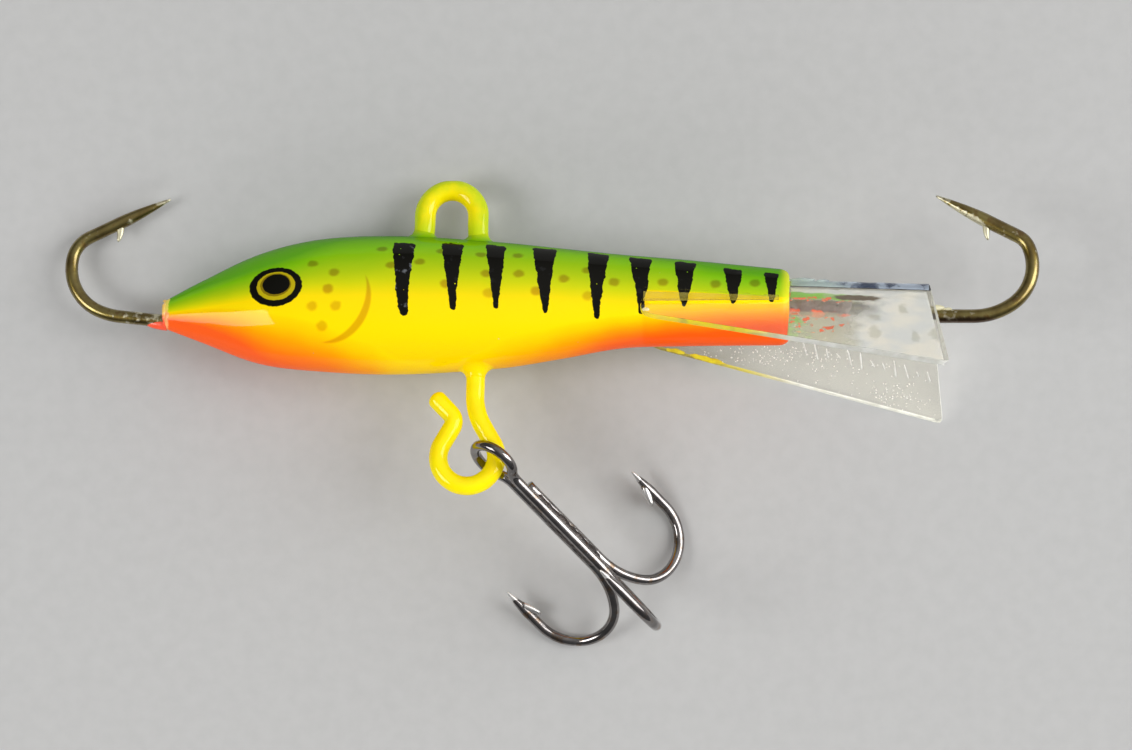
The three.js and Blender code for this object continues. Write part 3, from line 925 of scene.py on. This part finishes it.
def spline(rows, x, column):
    """A smooth curve through the rows' column, by slopes taken across each row's neighbours."""
    at = max(i for i in range(len(rows) - 1) if rows[i][0] <= x or i == 0)

    def slope(i):
        before = rows[max(i - 1, 0)]
        after = rows[min(i + 1, len(rows) - 1)]
        return (after[column] - before[column]) / (after[0] - before[0])

    span = rows[at + 1][0] - rows[at][0]
    t = (x - rows[at][0]) / span
    start = rows[at][column] * (2 * t**3 - 3 * t**2 + 1) + slope(at) * span * (t**3 - 2 * t**2 + t)
    end = rows[at + 1][column] * (3 * t**2 - 2 * t**3) + slope(at + 1) * span * (t**3 - t**2)
    return start + end


def body_section(x):
    """The middle and half height of the casting at x."""
    x = clamp(x, 0, OUTLINE[-1][0])
    back = spline(OUTLINE, x, 1)
    belly = spline(OUTLINE, x, 2)
    return (back + belly) / 2, (back - belly) / 2


def body_ring(x, middle, half, sides=BODY_SIDES):
    deep = WIDTH_TO_HEIGHT * half
    return [Vector((x, middle + half * cos(turn), deep * sin(turn))) for turn in turns(sides)]


def body_surface(x, z, side):
    """Height of the back (side 1) or the belly (side -1) over a point."""
    middle, half = body_section(x)
    share = min(abs(z) / (WIDTH_TO_HEIGHT * half), 1)
    return middle + side * half * sqrt(1 - share**2)


def add_fillet(shape, x, side):
    """Paint that climbs a wire where it leaves the casting."""
    rings = []
    notes = []
    for share in shares(FILLET["steps"]):
        turn = pi / 2 * share
        reach = FRAME_WIRE / 2 + FILLET["size"] * (1 - sin(turn))
        rise = FILLET["size"] * (1 - cos(turn)) - FILLET["sink"]
        ring = []
        for angle in turns(FILLET["sides"]):
            px = x + reach * cos(angle)
            pz = reach * sin(angle)
            ring.append(Vector((px, body_surface(px, pz, side) + side * rise, pz)))
        rings.append(ring)
        notes += [side * (FILLET["foot"] - FILLET["fade"] * share)] * len(ring)
    shape.ring_grid(rings, notes)


def make_body():
    shape = Shape()
    last = OUTLINE[-1][0]
    stations = [(last * share, *body_section(last * share)) for share in shares(BODY_RINGS)]
    _, middle, half = stations[-1]
    for share in shares(TAIL_ROUND["steps"])[1:]:
        turn = pi / 2 * share
        inset = TAIL_ROUND["depth"] * (1 - cos(turn))
        stations.append((BODY_LENGTH - TAIL_ROUND["length"] * (1 - sin(turn)), middle, half - inset))
    start = stations[0]
    end = stations[-1]
    for share in shares(CAP_STEPS)[1:-1]:
        stations.append((end[0], end[1], end[2] * (1 - share)))
        stations.insert(0, (start[0], start[1], start[2] * (1 - share)))
    rings = [body_ring(*station) for station in stations]
    heights = []
    for ring in rings:
        middle, half = body_section(ring[0].x)
        heights += [(point.y - middle) / half for point in ring]
    shape.ring_grid(rings, heights)
    add_fillet(shape, LOOP_LEG_X, 1)
    add_fillet(shape, BELLY_LEG_X, 1)
    add_fillet(shape, BELLY_LEG_X, -1)
    body = shape.piece("painted_body", JIG, jig_paint(), "body_paint", note_name="height")
    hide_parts("body")


def make_nose_paint():
    """The torn rim of paint round the nose face, and the drip that ran onto the hook's shank."""
    shape = Shape()
    middle, half = body_section(0)
    rim = body_ring(0, middle, half * NOSE_RIM["share"], NOSE_RIM["sides"])
    for point, angle in zip(rim, turns(NOSE_RIM["sides"])):
        spot = Vector((cos(angle), sin(angle), 0)) * NOSE_RIM["closeness"]
        torn = noise.noise(spot + SIDEWAYS * NOSE_RIM["seed"])
        point.x = -NOSE_RIM["ahead"] - NOSE_RIM["torn"] * max(torn, NOSE_RIM["least"])
    rings = []
    for i, point in enumerate(rim):
        out = (rim[(i + 1) % len(rim)] - rim[i - 1]).cross(AHEAD).normalized()
        thick = NOSE_RIM["thick"] + NOSE_RIM["uneven"] * noise.noise(point * 3)
        section = []
        for turn in turns(NOSE_RIM["section_sides"]):
            drawn = AHEAD * (NOSE_RIM["draw"] * sin(turn))
            section.append(point + (out * cos(turn) + drawn) * thick)
        rings.append(section)
    shape.ring_grid(rings, looped=True)

    def drip_radius(share):
        return NOSE_DRIP["radius"] * sqrt(1 - (NOSE_DRIP["blunt"] * share) ** 2)

    ends = (Vector(NOSE_DRIP["start"]), Vector(NOSE_DRIP["end"]))
    shape.spindle(*ends, NOSE_DRIP["steps"], drip_radius, sides=20, across=SIDEWAYS)
    shape.piece("nose_paint", JIG, torn_paint(), "body_paint")


# Wires


def flat_heading(angle):
    turn = radians(angle)
    return Vector((cos(turn), sin(turn), 0))


def make_frame_wire():
    radius = FRAME_WIRE / 2
    wire = Wire((LOOP_LEG_X, LOOP_LEG_FOOT_Y, 0), flat_heading(90))
    wire.run(LOOP_CENTRE_Y - LOOP_LEG_FOOT_Y)
    wire.bend(LOOP_RADIUS, pi, -SIDEWAYS)
    wire.run(LOOP_CENTRE_Y - BELLY_LEG_END_Y)
    wire.bends([HANGER_LEAN], SIDEWAYS).run(HANGER_LEAN_LENGTH)
    wire.bends([HANGER_CUP], -SIDEWAYS).run(HANGER_NECK_LENGTH)
    wire.bends([HANGER_LIP], SIDEWAYS).run(HANGER_LIP_LENGTH)
    end = wire.points.pop()
    while (end - wire.points[-1]).length < END_ROUND:
        wire.points.pop()
    points = []
    radii = []
    for point in wire.points:
        thick = LOOP_PAINT["thick"] * clamp((point.y - LOOP_PAINT["from"]) / LOOP_PAINT["over"])
        inwards = Vector((LOOP_MIDDLE_X, min(point.y, LOOP_CENTRE_Y), 0)) - point
        points.append(point + inwards.normalized() * thick)
        radii.append(radius + thick)
    for share in shares(END_STEPS):
        turn = pi / 2 * share
        points.append(end - wire.heading * (END_ROUND * (1 - sin(turn))))
        radii.append(radius * cos(0.98 * turn))
    shape = Shape()
    shape.tube(points, radii, across=SIDEWAYS, wobble=lumps(0.018, 1.1))
    piece = shape.piece("painted_wire", JIG, wire_paint(), "wire_paint")
    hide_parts("loop_and_hanger_wire")


def point_radii(points, radius, taper):
    """A wire's radius at each point: full, then down to a needle point over the taper."""
    far = distances(points)
    return [radius * (1 - 0.85 * clamp(1 - (far[-1] - at) / taper) ** 1.6) for at in far]


def point_wear(points, spread):
    """Wear from 0 to 1 towards a wire's point."""
    far = distances(points)
    return [max(1 - (far[-1] - at) / spread, 0) ** 2 for at in far]


def add_barb(shape, wire, inward, barb):
    """A blunt sliver cut up from the wire, leaning away from the point."""
    along = wire.heading
    tip = wire.points[-1] - along * barb["back"] + inward * barb["stand"]
    foot = wire.points[-1] - along * barb["root"]
    line = []
    radii = []
    for share in shares(BARB_SHAPE["steps"]):
        sag = along * (BARB_SHAPE["sag"] * barb["stand"] * sin(pi * share))
        line.append(foot.lerp(tip, share) + sag)
        radii.append(barb["thick"] * (1 - BARB_SHAPE["thinning"] * share**1.5))
    radii[-1] *= BARB_SHAPE["blunt"]
    flat = {"across": along, "flatness": BARB_SHAPE["flatness"]}
    shape.tube(line, radii, sides=12, note=lambda i, out: min(i / BARB_SHAPE["worn_steps"], 1), **flat)


def make_single_hook(name, node, wire, diameter, turn_side, exit_at, inner_wear_and_sheen, metal):
    """A hook worn at its point and in patches along it, paler inside to the barb by wear and a painted
    highlight.
    """
    wire.run(POINT_ARM - POINT_TAPER).run(POINT_TAPER, TAPER_STEPS)
    points = wire.points
    far = distances(points)
    patches = [(exit_at, EXIT_SPREAD, EXIT_WEAR), (far[-1] - POINT_ARM, BEND_SPREAD, BEND_WEAR)]
    inward = SIDEWAYS.cross(wire.heading) * turn_side
    at_point = point_wear(points, POINT_TAPER * 0.6)

    def wear_and_sheen(i, out):
        worn = [share * max(1 - abs(far[i] - at) / reach, 0) ** 0.5 for at, reach, share in patches]
        # Paler inner side as far as the barb: partly wear, partly a painted highlight
        inner = inner_wear_and_sheen * out.dot(inward) if far[-1] - far[i] < BARB["root"] else 0
        return max(at_point[i], inner, *worn)

    shape = Shape()
    shape.tube(points, point_radii(points, diameter / 2, POINT_TAPER), across=SIDEWAYS, note=wear_and_sheen)
    add_barb(shape, wire, inward, BARB)
    piece = shape.piece(name, JIG, metal, "bronzed_steel", note_name="wear_and_sheen")
    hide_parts(node)


def make_single_hooks():
    bronze = hook_metal("bronze", rgb(104, 84, 25), rgb(148, 135, 74), rgb(216, 210, 180), 0.3, 0.9)
    out = flat_heading(NOSE_HEADING)
    held = (NOSE_ROOT_X - NOSE_EXIT[0]) / -out.x
    root = Vector((*NOSE_EXIT, 0)) - out * held
    nose = Wire(root, out).run(held + NOSE_LEAD).bends(NOSE_BENDS, -SIDEWAYS)
    make_single_hook("bronze_nose_hook", "nose_hook", nose, NOSE_WIRE, -1, held, NOSE_INNER_WEAR_AND_SHEEN, bronze)

    slope = radians(TAIL_SLOPE)
    down = flat_heading(-TAIL_SLOPE)
    bend_start_x = TAIL_EXIT[0] - TAIL_BEND_RADIUS * sin(slope)
    bend_start_y = TAIL_EXIT[1] + TAIL_BEND_RADIUS * (1 - cos(slope))
    straight = (bend_start_x - TAIL_ROOT_X) / down.x
    tail = Wire(Vector((bend_start_x, bend_start_y, 0)) - down * straight, down).run(straight)
    tail.bend(TAIL_BEND_RADIUS, slope, SIDEWAYS).run(TAIL_LEAD).bends(TAIL_BENDS, SIDEWAYS)
    make_single_hook("bronze_tail_hook", "tail_hook", tail, TAIL_WIRE, 1, straight, TAIL_INNER_WEAR_AND_SHEEN, bronze)


# Treble


def outward_at(turn):
    return Matrix.Rotation(turn, 3, "X") @ SIDEWAYS


def treble_arm(turn, shank_start):
    outward = outward_at(turn)
    flare_reach = TREBLE_FLARE[0] * sin(radians(TREBLE_FLARE[1]))
    bend_reach = TREBLE_BEND[0] * (1 - sin(radians(TREBLE_FLARE[1])))
    wire = Wire(AHEAD * shank_start + outward * TREBLE_OFF_AXIS, AHEAD)
    wire.run(TREBLE_LENGTH - flare_reach - bend_reach - shank_start)
    wire.bends([TREBLE_FLARE, TREBLE_BEND], AHEAD.cross(outward))
    return wire.run(TREBLE_ARM - TREBLE_TAPER).run(TREBLE_TAPER, TAPER_STEPS)


def eye_ring():
    """From one shank of the double hook round the eye and back to the other."""
    between = (UP_HOOK + LEFT_HOOK) / 2
    across = outward_at(between - pi / 2)
    half_gap = TREBLE_OFF_AXIS * sin((LEFT_HOOK - UP_HOOK) / 2)
    neck_offset = half_gap + EYE_NECK_RADIUS
    neck_to_eye = EYE_RADIUS + EYE_NECK_RADIUS
    neck_x = sqrt(neck_to_eye**2 - neck_offset**2)
    neck_turn = acos(neck_offset / neck_to_eye)
    start = AHEAD * (neck_x + EYE_RADIUS) + across * half_gap + outward_at(between) * (TREBLE_OFF_AXIS / 2)
    wire = Wire(start, -AHEAD).run(EYE_RADIUS)
    outwards = wire.heading.cross(across)
    wire.bend(EYE_NECK_RADIUS, neck_turn, outwards)
    wire.bend(EYE_RADIUS, pi + 2 * neck_turn, -outwards)
    wire.bend(EYE_NECK_RADIUS, neck_turn, outwards).run(EYE_RADIUS)
    return wire


def make_treble():
    nickel = hook_metal("black_nickel", rgb(104, 99, 98), rgb(160, 156, 154), rgb(240, 238, 234), 0.12, 0.5)
    ring = eye_ring().points
    up, left = [treble_arm(turn, ring[0].x) for turn in (UP_HOOK, LEFT_HOOK)]
    right = treble_arm(RIGHT_HOOK, TREBLE_SINGLE_START)
    radius = TREBLE_WIRE / 2
    arms = (up, left, right)
    up_radii, left_radii, right_radii = [point_radii(arm.points, radius, TREBLE_TAPER) for arm in arms]
    up_wear, left_wear, right_wear = [point_wear(arm.points, TREBLE_TAPER) for arm in arms]

    shape = Shape()
    double = up.points[::-1] + ring[1:-1] + left.points
    radii = up_radii[::-1] + [radius] * (len(ring) - 2) + left_radii
    double_wear = up_wear[::-1] + [0.0] * (len(ring) - 2) + left_wear
    shape.tube(double, radii, note=lambda i, out: double_wear[i])
    shape.tube(right.points, right_radii, note=lambda i, out: right_wear[i])
    for arm, turn in zip(arms, (UP_HOOK, LEFT_HOOK, RIGHT_HOOK)):
        add_barb(shape, arm, -outward_at(turn), TREBLE_BARB)
    piece = shape.piece("nickel_treble", TREBLE, nickel, "black_nickel", note_name="wear_and_sheen")
    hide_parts("treble_hook")

    def braze_radius(share):
        return BRAZE["radius"] * min(1, BRAZE["end_share"] + BRAZE["swell"] * min(share, 1 - share))

    braze = Shape()
    ends = (AHEAD * BRAZE["start"], AHEAD * BRAZE["end"])
    braze.spindle(*ends, BRAZE["steps"], braze_radius, sides=24, wobble=lumps(BRAZE["lumps"], 2.4))
    braze.piece("treble_braze", TREBLE, braze_metal(), "black_nickel")


# Fin


def fin_place(side):
    """Takes a plate's own x, distance from the ridge and depth to the jig's frame."""
    ridge_at_nose = RIDGE_HEIGHT_AT_TAIL + BODY_LENGTH * sin(FIN_SLOPE)
    slope = Matrix.Translation((0, ridge_at_nose, 0)) @ Matrix.Rotation(-FIN_SLOPE, 4, "Z")
    mirror = Matrix.Scale(side, 4, SIDEWAYS)
    return slope @ mirror @ Matrix.Rotation(pi / 2 + FIN_ANGLE, 4, "X")


def down_plate(place):
    """The direction from the ridge to the plate's free edge."""
    return place.to_3x3() @ Vector((0, 1, 0))


def plate_width(x):
    """How far the plate's free edge is from the ridge at x."""
    widening = (FIN_REAR_WIDTH - FIN_FRONT_WIDTH) / (FIN_CORNER_X - FIN_FRONT_X)
    return FIN_FRONT_WIDTH + widening * (x - FIN_FRONT_X)


def plate_rear(width):
    """Where the plate's rear edge is at a distance from the ridge."""
    return FIN_RIDGE_REAR_X + (FIN_CORNER_X - FIN_RIDGE_REAR_X) / FIN_REAR_WIDTH * width


def corner_points(before, corner, after, size):
    """A corner rounded by a curve that starts and ends a size away from it."""
    start = corner + (before - corner).normalized() * size
    end = corner + (after - corner).normalized() * size
    return corner_curve(start, corner, end, 8)


def plate_outline(ridge, inset=0.0):
    """The plate seen square on, from a line beside the ridge: x and distance from the ridge."""
    rear = Vector((plate_rear(ridge), ridge))
    front = Vector((FIN_FRONT_X, ridge))
    edge_front = Vector((FIN_FRONT_X, FIN_FRONT_WIDTH - inset))
    corner = Vector((FIN_CORNER_X - inset, FIN_REAR_WIDTH - inset))
    front_curve = corner_points(front, edge_front, corner, FIN_FRONT_RADIUS)
    return [rear, front, *front_curve, *corner_points(edge_front, corner, rear, FIN_CORNER_RADIUS)]


def make_fin():
    """One closed body: two plates that meet in the ridge. The upper one thins towards its rim."""
    work = bmesh.new()
    inner_ridge = FIN_THICKNESS * tan(FIN_ANGLE)
    plate_normals = []
    for side in (UPPER, LOWER):
        place = JIG @ fin_place(side)
        plate_normals.append((place.to_3x3() @ SIDEWAYS).normalized())
        inner_outline = plate_outline(inner_ridge, FIN_THINNING if side == UPPER else 0)
        outer = [work.verts.new(place @ Vector((*point, 0))) for point in plate_outline(0)]
        inner = [work.verts.new(place @ Vector((*point, FIN_THICKNESS))) for point in inner_outline]
        work.faces.new(outer)
        work.faces.new(inner)
        for i in range(1, len(outer)):
            j = (i + 1) % len(outer)
            work.faces.new((outer[i], outer[j], inner[j], inner[i]))
    bmesh.ops.remove_doubles(work, verts=work.verts, dist=1e-7)
    bmesh.ops.recalc_face_normals(work, faces=work.faces)
    sharp = [edge for edge in work.edges if edge.calc_face_angle(0) > radians(30)]
    bevel = {"offset": FIN_EDGE * MM, "segments": 3, "profile": 0.5, "clamp_overlap": True}
    bmesh.ops.bevel(work, geom=sharp, affect="EDGES", **bevel)
    for vertex in work.verts:
        keep_inside(vertex.co)
    mesh = bpy.data.meshes.new("clear_fin")
    work.to_mesh(mesh)
    work.free()
    fin = finished("clear_fin", mesh, clear_plastic(), shadow=False)
    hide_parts("tail_fin")
    mesh.materials.append(frosted_edge())
    backwards = (JIG.to_3x3() @ Vector((0, 1, 0))).normalized()
    for face in mesh.polygons:
        lower = (JIG.inverted() @ face.center).z < 0
        on_plate = abs(face.normal.dot(plate_normals[lower])) > RIM_COSINE
        face.material_index = 0 if on_plate or face.normal.dot(backwards) > 0.5 else 1


def make_fin_film():
    """A film on the inner face of the upper plate, behind the casting."""
    shape = Shape()
    place = fin_place(UPPER)
    start = BODY_LENGTH + FILM["gap"]
    rings = []
    notes = []
    for share in shares(FILM["columns"]):
        row = []
        for out in shares(FILM["rows"]):
            width = FILM["first"] + FILM["width"] * out
            x = start + (plate_rear(width) - FILM["margin"] - start) * share
            row.append((x, min(width, plate_width(x) - FILM["margin"])))
        near, far = [[place @ Vector((*point, depth)) for point in row] for depth in FILM_DEPTHS]
        rings.append(near + far[::-1])
        notes += [width for _, width in row + row[::-1]]
    shape.ring_grid(rings, notes)
    shape.piece("fin_haze", JIG, haze_film(), "clear_plastic", note_name="from_ridge", shadow=False)


def add_grain(shape, centre, size, chance):
    """A small rounded grain."""
    turn = Euler([chance.uniform(0, 6) for _ in range(3)]).to_matrix()
    stretch = Vector((chance.uniform(0.6, 1.5), chance.uniform(0.6, 1.2), 0.5)) * size
    shape.ball(1, lambda spot: centre + turn @ (spot * stretch))


def make_fin_grains():
    """Pale grains of glue and dust on the upper face of the lower plate."""
    chance = random.Random(11)
    place = fin_place(LOWER)
    shape = Shape()
    for count, (x, spread_x), (width, spread_width) in GRAIN_DRIFTS:
        for _ in range(count):
            at_x = chance.gauss(x, spread_x)
            out = chance.gauss(width, spread_width)
            widest = plate_width(at_x) - GRAIN_MARGIN
            rear = plate_rear(out) - GRAIN_MARGIN
            if GRAINS_FROM_RIDGE < out < widest and FIN_FRONT_X + GRAINS_FROM_FRONT < at_x < rear:
                size = chance.uniform(*GRAIN_SIZES)
                centre = place @ Vector((at_x, out, FIN_THICKNESS + GRAIN_LIFT * size))
                add_grain(shape, centre, size, chance)
    finish = plain_finish("pale_grains", rgb(255, 254, 250), rgb(238, 234, 224), 0.4)
    shape.piece("fin_grains", JIG, finish, "clear_plastic")


def make_fin_strokes():
    """A row of shallow moulded strokes on the lower plate, which aren't letters."""
    shape = Shape()
    place = fin_place(LOWER)
    for i in range(STROKES["count"]):
        middle = Vector((*STROKES["first"], FIN_THICKNESS)) + Vector((*STROKES["step"], 0)) * i
        sizes = [way["mean"] + way["swing"] * sin(way["rate"] * i) for way in (STROKE_LEAN, STROKE_REACH)]
        half = Vector((*sizes, 0))
        line = [place @ (middle + half * t) for t in STROKE_RADII]
        shape.tube(line, list(STROKE_RADII.values()), sides=8)
    finish = plain_finish("pale_strokes", rgb(240, 240, 236), rgb(214, 212, 204), 0.4)
    shape.piece("fin_strokes", JIG, finish, "clear_plastic", shadow=False)


def make_edge_paint():
    """Yellow paint left on the lower plate's edge, next to the casting."""
    shape = Shape()
    place = fin_place(LOWER)
    steps = EDGE_PAINT_LINE["steps"]
    flat = {"across": down_plate(place), "flatness": EDGE_PAINT_LINE["flatness"]}

    def radius_at(share):
        return EDGE_PAINT_LINE["half_width"] * sqrt(sin(pi * (steps * share + 0.5) / (steps + 1)))

    for pair in EDGE_PAINT:
        inset = EDGE_PAINT_LINE["inset"]
        ends = [place @ Vector((x, plate_width(x) - inset, FIN_THICKNESS)) for x in pair]
        shape.spindle(*ends, steps, radius_at, sides=12, wobble=lumps(EDGE_PAINT_LINE["lumps"], 2.2), **flat)
    finish = plain_finish("edge_paint", rgb(240, 224, 34), rgb(214, 186, 24), 0.35)
    shape.piece("edge_paint", JIG, finish, "body_paint")


# Glue


def emergence(x):
    """Where a plate's outer face leaves the casting at x, as an angle round the section from the back."""
    middle, half = body_section(x)
    ridge = RIDGE_HEIGHT_AT_TAIL + (BODY_LENGTH - x) * tan(FIN_SLOPE)
    fall = tan(FIN_ANGLE) * WIDTH_TO_HEIGHT
    return atan(fall) + acos((ridge - middle) / (half * hypot(1, fall)))


def flank_point(x, turn, side, lift=0.0):
    middle, half = body_section(x)
    out = Vector((0, cos(turn) * WIDTH_TO_HEIGHT, sin(turn))).normalized()
    z = WIDTH_TO_HEIGHT * half * sin(turn)
    return Vector((x, middle + half * cos(turn) + lift * out.y, side * (z + lift * out.z)))


def make_slot_glue():
    """Clear glue that fills the corner between the flank and each plate, olive partly from painted shade in
    the corner.
    """
    shape = Shape()
    sink = SLOT_GLUE["sink"]
    start = FIN_FRONT_X + SLOT_GLUE["gap"]
    length = BODY_LENGTH - FIN_FRONT_X - SLOT_GLUE["shortfall"]
    for side in (UPPER, LOWER):
        down = Vector((0, -sin(FIN_ANGLE), side * cos(FIN_ANGLE)))
        out_of_plate = Vector((0, cos(FIN_ANGLE), side * sin(FIN_ANGLE)))
        rings = []
        for share in shares(SLOT_GLUE["rings"]):
            x = start + length * share
            reach = SLOT_GLUE["front_reach"] + (SLOT_GLUE["tail_reach"] - SLOT_GLUE["front_reach"]) * share
            reach *= 1 + SLOT_GLUE["uneven"] * noise.noise(Vector((x * 1.3, side, 0)))
            corner = emergence(x)
            top = corner - reach / body_section(x)[1]
            root = flank_point(x, corner, side)
            foot = root + down * (SLOT_GLUE["on_plate"] * reach)
            ring = corner_curve(flank_point(x, top, side), root, foot, SLOT_GLUE["steps"])
            ring += [foot - out_of_plate * sink, root - out_of_plate * (2 * sink)]
            rings.append([*ring, flank_point(x, top, side, -sink)])
        shape.ring_grid(rings)
    # Olive tint: partly the glue's own colour, partly painted shade in the corner by the plate
    glue_tint_and_shade = (rgb(172, 154, 36), rgb(198, 184, 92))
    finish = plain_finish("clear_glue", *glue_tint_and_shade, 0.12, patches=0.9, grain=(1.5, 2.0, 0.04), alpha=0.42)
    shape.piece("slot_glue", JIG, finish, "clear_plastic", shadow=False)


def make_glue_beads():
    """Beads of clear glue on the ridge, by the tail hook's shank and at the front of the upper plate."""
    shape = Shape()
    for centre, size in GLUE_BEADS:
        middle = Vector(centre)
        half = Vector(size)

        def place(spot):
            return middle + half * spot * (1 + BEAD_LUMPS * noise.noise(spot * 1.3 + middle))

        shape.ball(3, place)
    shape.piece("glue_beads", JIG, ridge_glue(), "clear_plastic", shadow=False)


def make_ridge_bead():
    """A flat bead of clear glue along the ridge, behind the casting."""
    place = fin_place(UPPER)
    start = BODY_LENGTH + RIDGE_BEAD["gap"]
    end = FIN_RIDGE_REAR_X - RIDGE_BEAD["gap"]

    def radius_at(share):
        spot = Vector(((start + (end - start) * share) * 0.9, 3, 0))
        return RIDGE_BEAD["half_width"] * (1 + RIDGE_BEAD["uneven"] * noise.noise(spot))

    shape = Shape()
    ends = [place @ Vector((x, RIDGE_BEAD["middle"], 0)) for x in (start, end)]
    flat = {"across": down_plate(place), "flatness": RIDGE_BEAD["flatness"]}
    shape.spindle(*ends, RIDGE_BEAD["steps"], radius_at, sides=16, **flat)
    shape.piece("ridge_bead", JIG, ridge_glue(), "clear_plastic", shadow=False)


def make_shank_glue():
    """Glue and torn paint on the tail hook's shank, where it leaves the casting."""

    def on_shank(past):
        return Vector((BODY_LENGTH + past, SHANK_AT_TAIL_Y - TAIL_FALL * past, 0))

    def radius_at(share):
        return TAIL_WIRE / 2 + SHANK_GLUE["thick"] * (1 - share) ** 0.6 + SHANK_GLUE["least"]

    shape = Shape()
    ends = [on_shank(SHANK_GLUE["start"] + SHANK_GLUE["length"] * share) for share in (0, 1)]
    bumps = lumps(SHANK_GLUE["lumps"], 1.7)
    shape.spindle(*ends, SHANK_GLUE["steps"], radius_at, sides=30, across=SIDEWAYS, wobble=bumps)
    shape.piece("shank_glue", JIG, shank_finish(), "body_paint")


# Setting

# Studio: how bright it is by how near a direction is to the bright side, and each softbox's place, size
# and power
BRIGHT_SIDE = (0.5, 0.48, 0.72)
GLOW = [(0.0, (0.12, 0.122, 0.125, 1)), (0.4, (0.16, 0.162, 0.165, 1)), (0.97, (0.64, 0.63, 0.62, 1))]
SOFTBOXES = [
    ("left_softbox", (-0.375, -0.06, 0.35), (0.22, 0.24), 1.26),
    ("right_softbox", (0.388, 0.065, 0.284), (0.26, 0.42), 1.75),
    ("belly_fill", (0.03, -0.45, 0.22), (0.5, 0.3), 1.05),
]
UNSEEN_IN_GLOSS = "belly_fill"
FLOOR_REACH = 2.0

# Camera: straight above, at the photograph's scale. Its focal length gives this many pixels for one unit
# of slope
PHOTO_WIDTH = 1132
CAMERA_FOCUS_PIXELS = 3551.5
CAMERA_PLACE = Vector((1.349, 2.858, 260))
SENSOR_WIDTH = 36


def put_in_scene(name, data):
    thing = bpy.data.objects.new(name, data)
    bpy.context.scene.collection.objects.link(thing)
    return thing


def make_floor():
    """A plain pale sheet of paper."""
    mesh = bpy.data.meshes.new("floor")
    corners = [(x * FLOOR_REACH, y * FLOOR_REACH, 0) for x, y in ((-1, -1), (1, -1), (1, 1), (-1, 1))]
    mesh.from_pydata(corners, [], [(0, 1, 2, 3)])
    paper = Paint("floor_paper", in_jig=False)
    grain = paper.noise(900.0).between(-0.4, 0.4)
    paper.colour = paper.mix(grain, (0.45, 0.45, 0.445, 1), (0.48, 0.48, 0.475, 1))
    mesh.materials.append(paper.finish(roughness=0.9))
    put_in_scene("floor", mesh)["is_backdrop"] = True


def make_studio():
    """Soft light from all round, brighter from one side, and three softboxes."""
    world = bpy.data.worlds.new("studio")
    nodes = Nodes(world)
    direction = nodes.add("ShaderNodeTexCoord", "Generated")
    both = {0: direction, 1: BRIGHT_SIDE}
    nearness = nodes.add("ShaderNodeVectorMath", "Value", both, operation="DOT_PRODUCT")
    nodes.give(nodes.ramp(nearness, GLOW), nodes.tree.nodes["Background"].inputs["Color"])
    bpy.context.scene.world = world
    for name, place, (wide, deep), power in SOFTBOXES:
        light = bpy.data.lights.new(name, "AREA")
        light.shape = "RECTANGLE"
        light.size = wide
        light.size_y = deep
        light.energy = power
        lamp = put_in_scene(name, light)
        lamp.location = place
        lamp.rotation_euler = Vector(place).to_track_quat("Z", "Y").to_euler()
        lamp.visible_camera = False
        lamp.visible_glossy = name != UNSEEN_IN_GLOSS
    bpy.context.scene.view_settings.view_transform = "Standard"


def make_camera():
    data = bpy.data.cameras.new("camera")
    data.sensor_fit = "HORIZONTAL"
    data.sensor_width = SENSOR_WIDTH
    data.lens = SENSOR_WIDTH * CAMERA_FOCUS_PIXELS / PHOTO_WIDTH
    data.clip_start = 0.01
    data.clip_end = 20
    camera = put_in_scene("camera", data)
    camera.location = CAMERA_PLACE * MM
    bpy.context.scene.camera = camera


make_camera()
make_floor()
make_studio()
make_body()
make_nose_paint()
make_frame_wire()
make_single_hooks()
make_treble()
make_fin()
make_fin_film()
make_fin_grains()
make_fin_strokes()
make_edge_paint()
make_slot_glue()
make_glue_beads()
make_ridge_bead()
make_shank_glue()

visual_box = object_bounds()
boxes = {"cad": cad_box, "visual": visual_box}
{name: [[float(v) for v in corner] for corner in box] for name, box in boxes.items()}
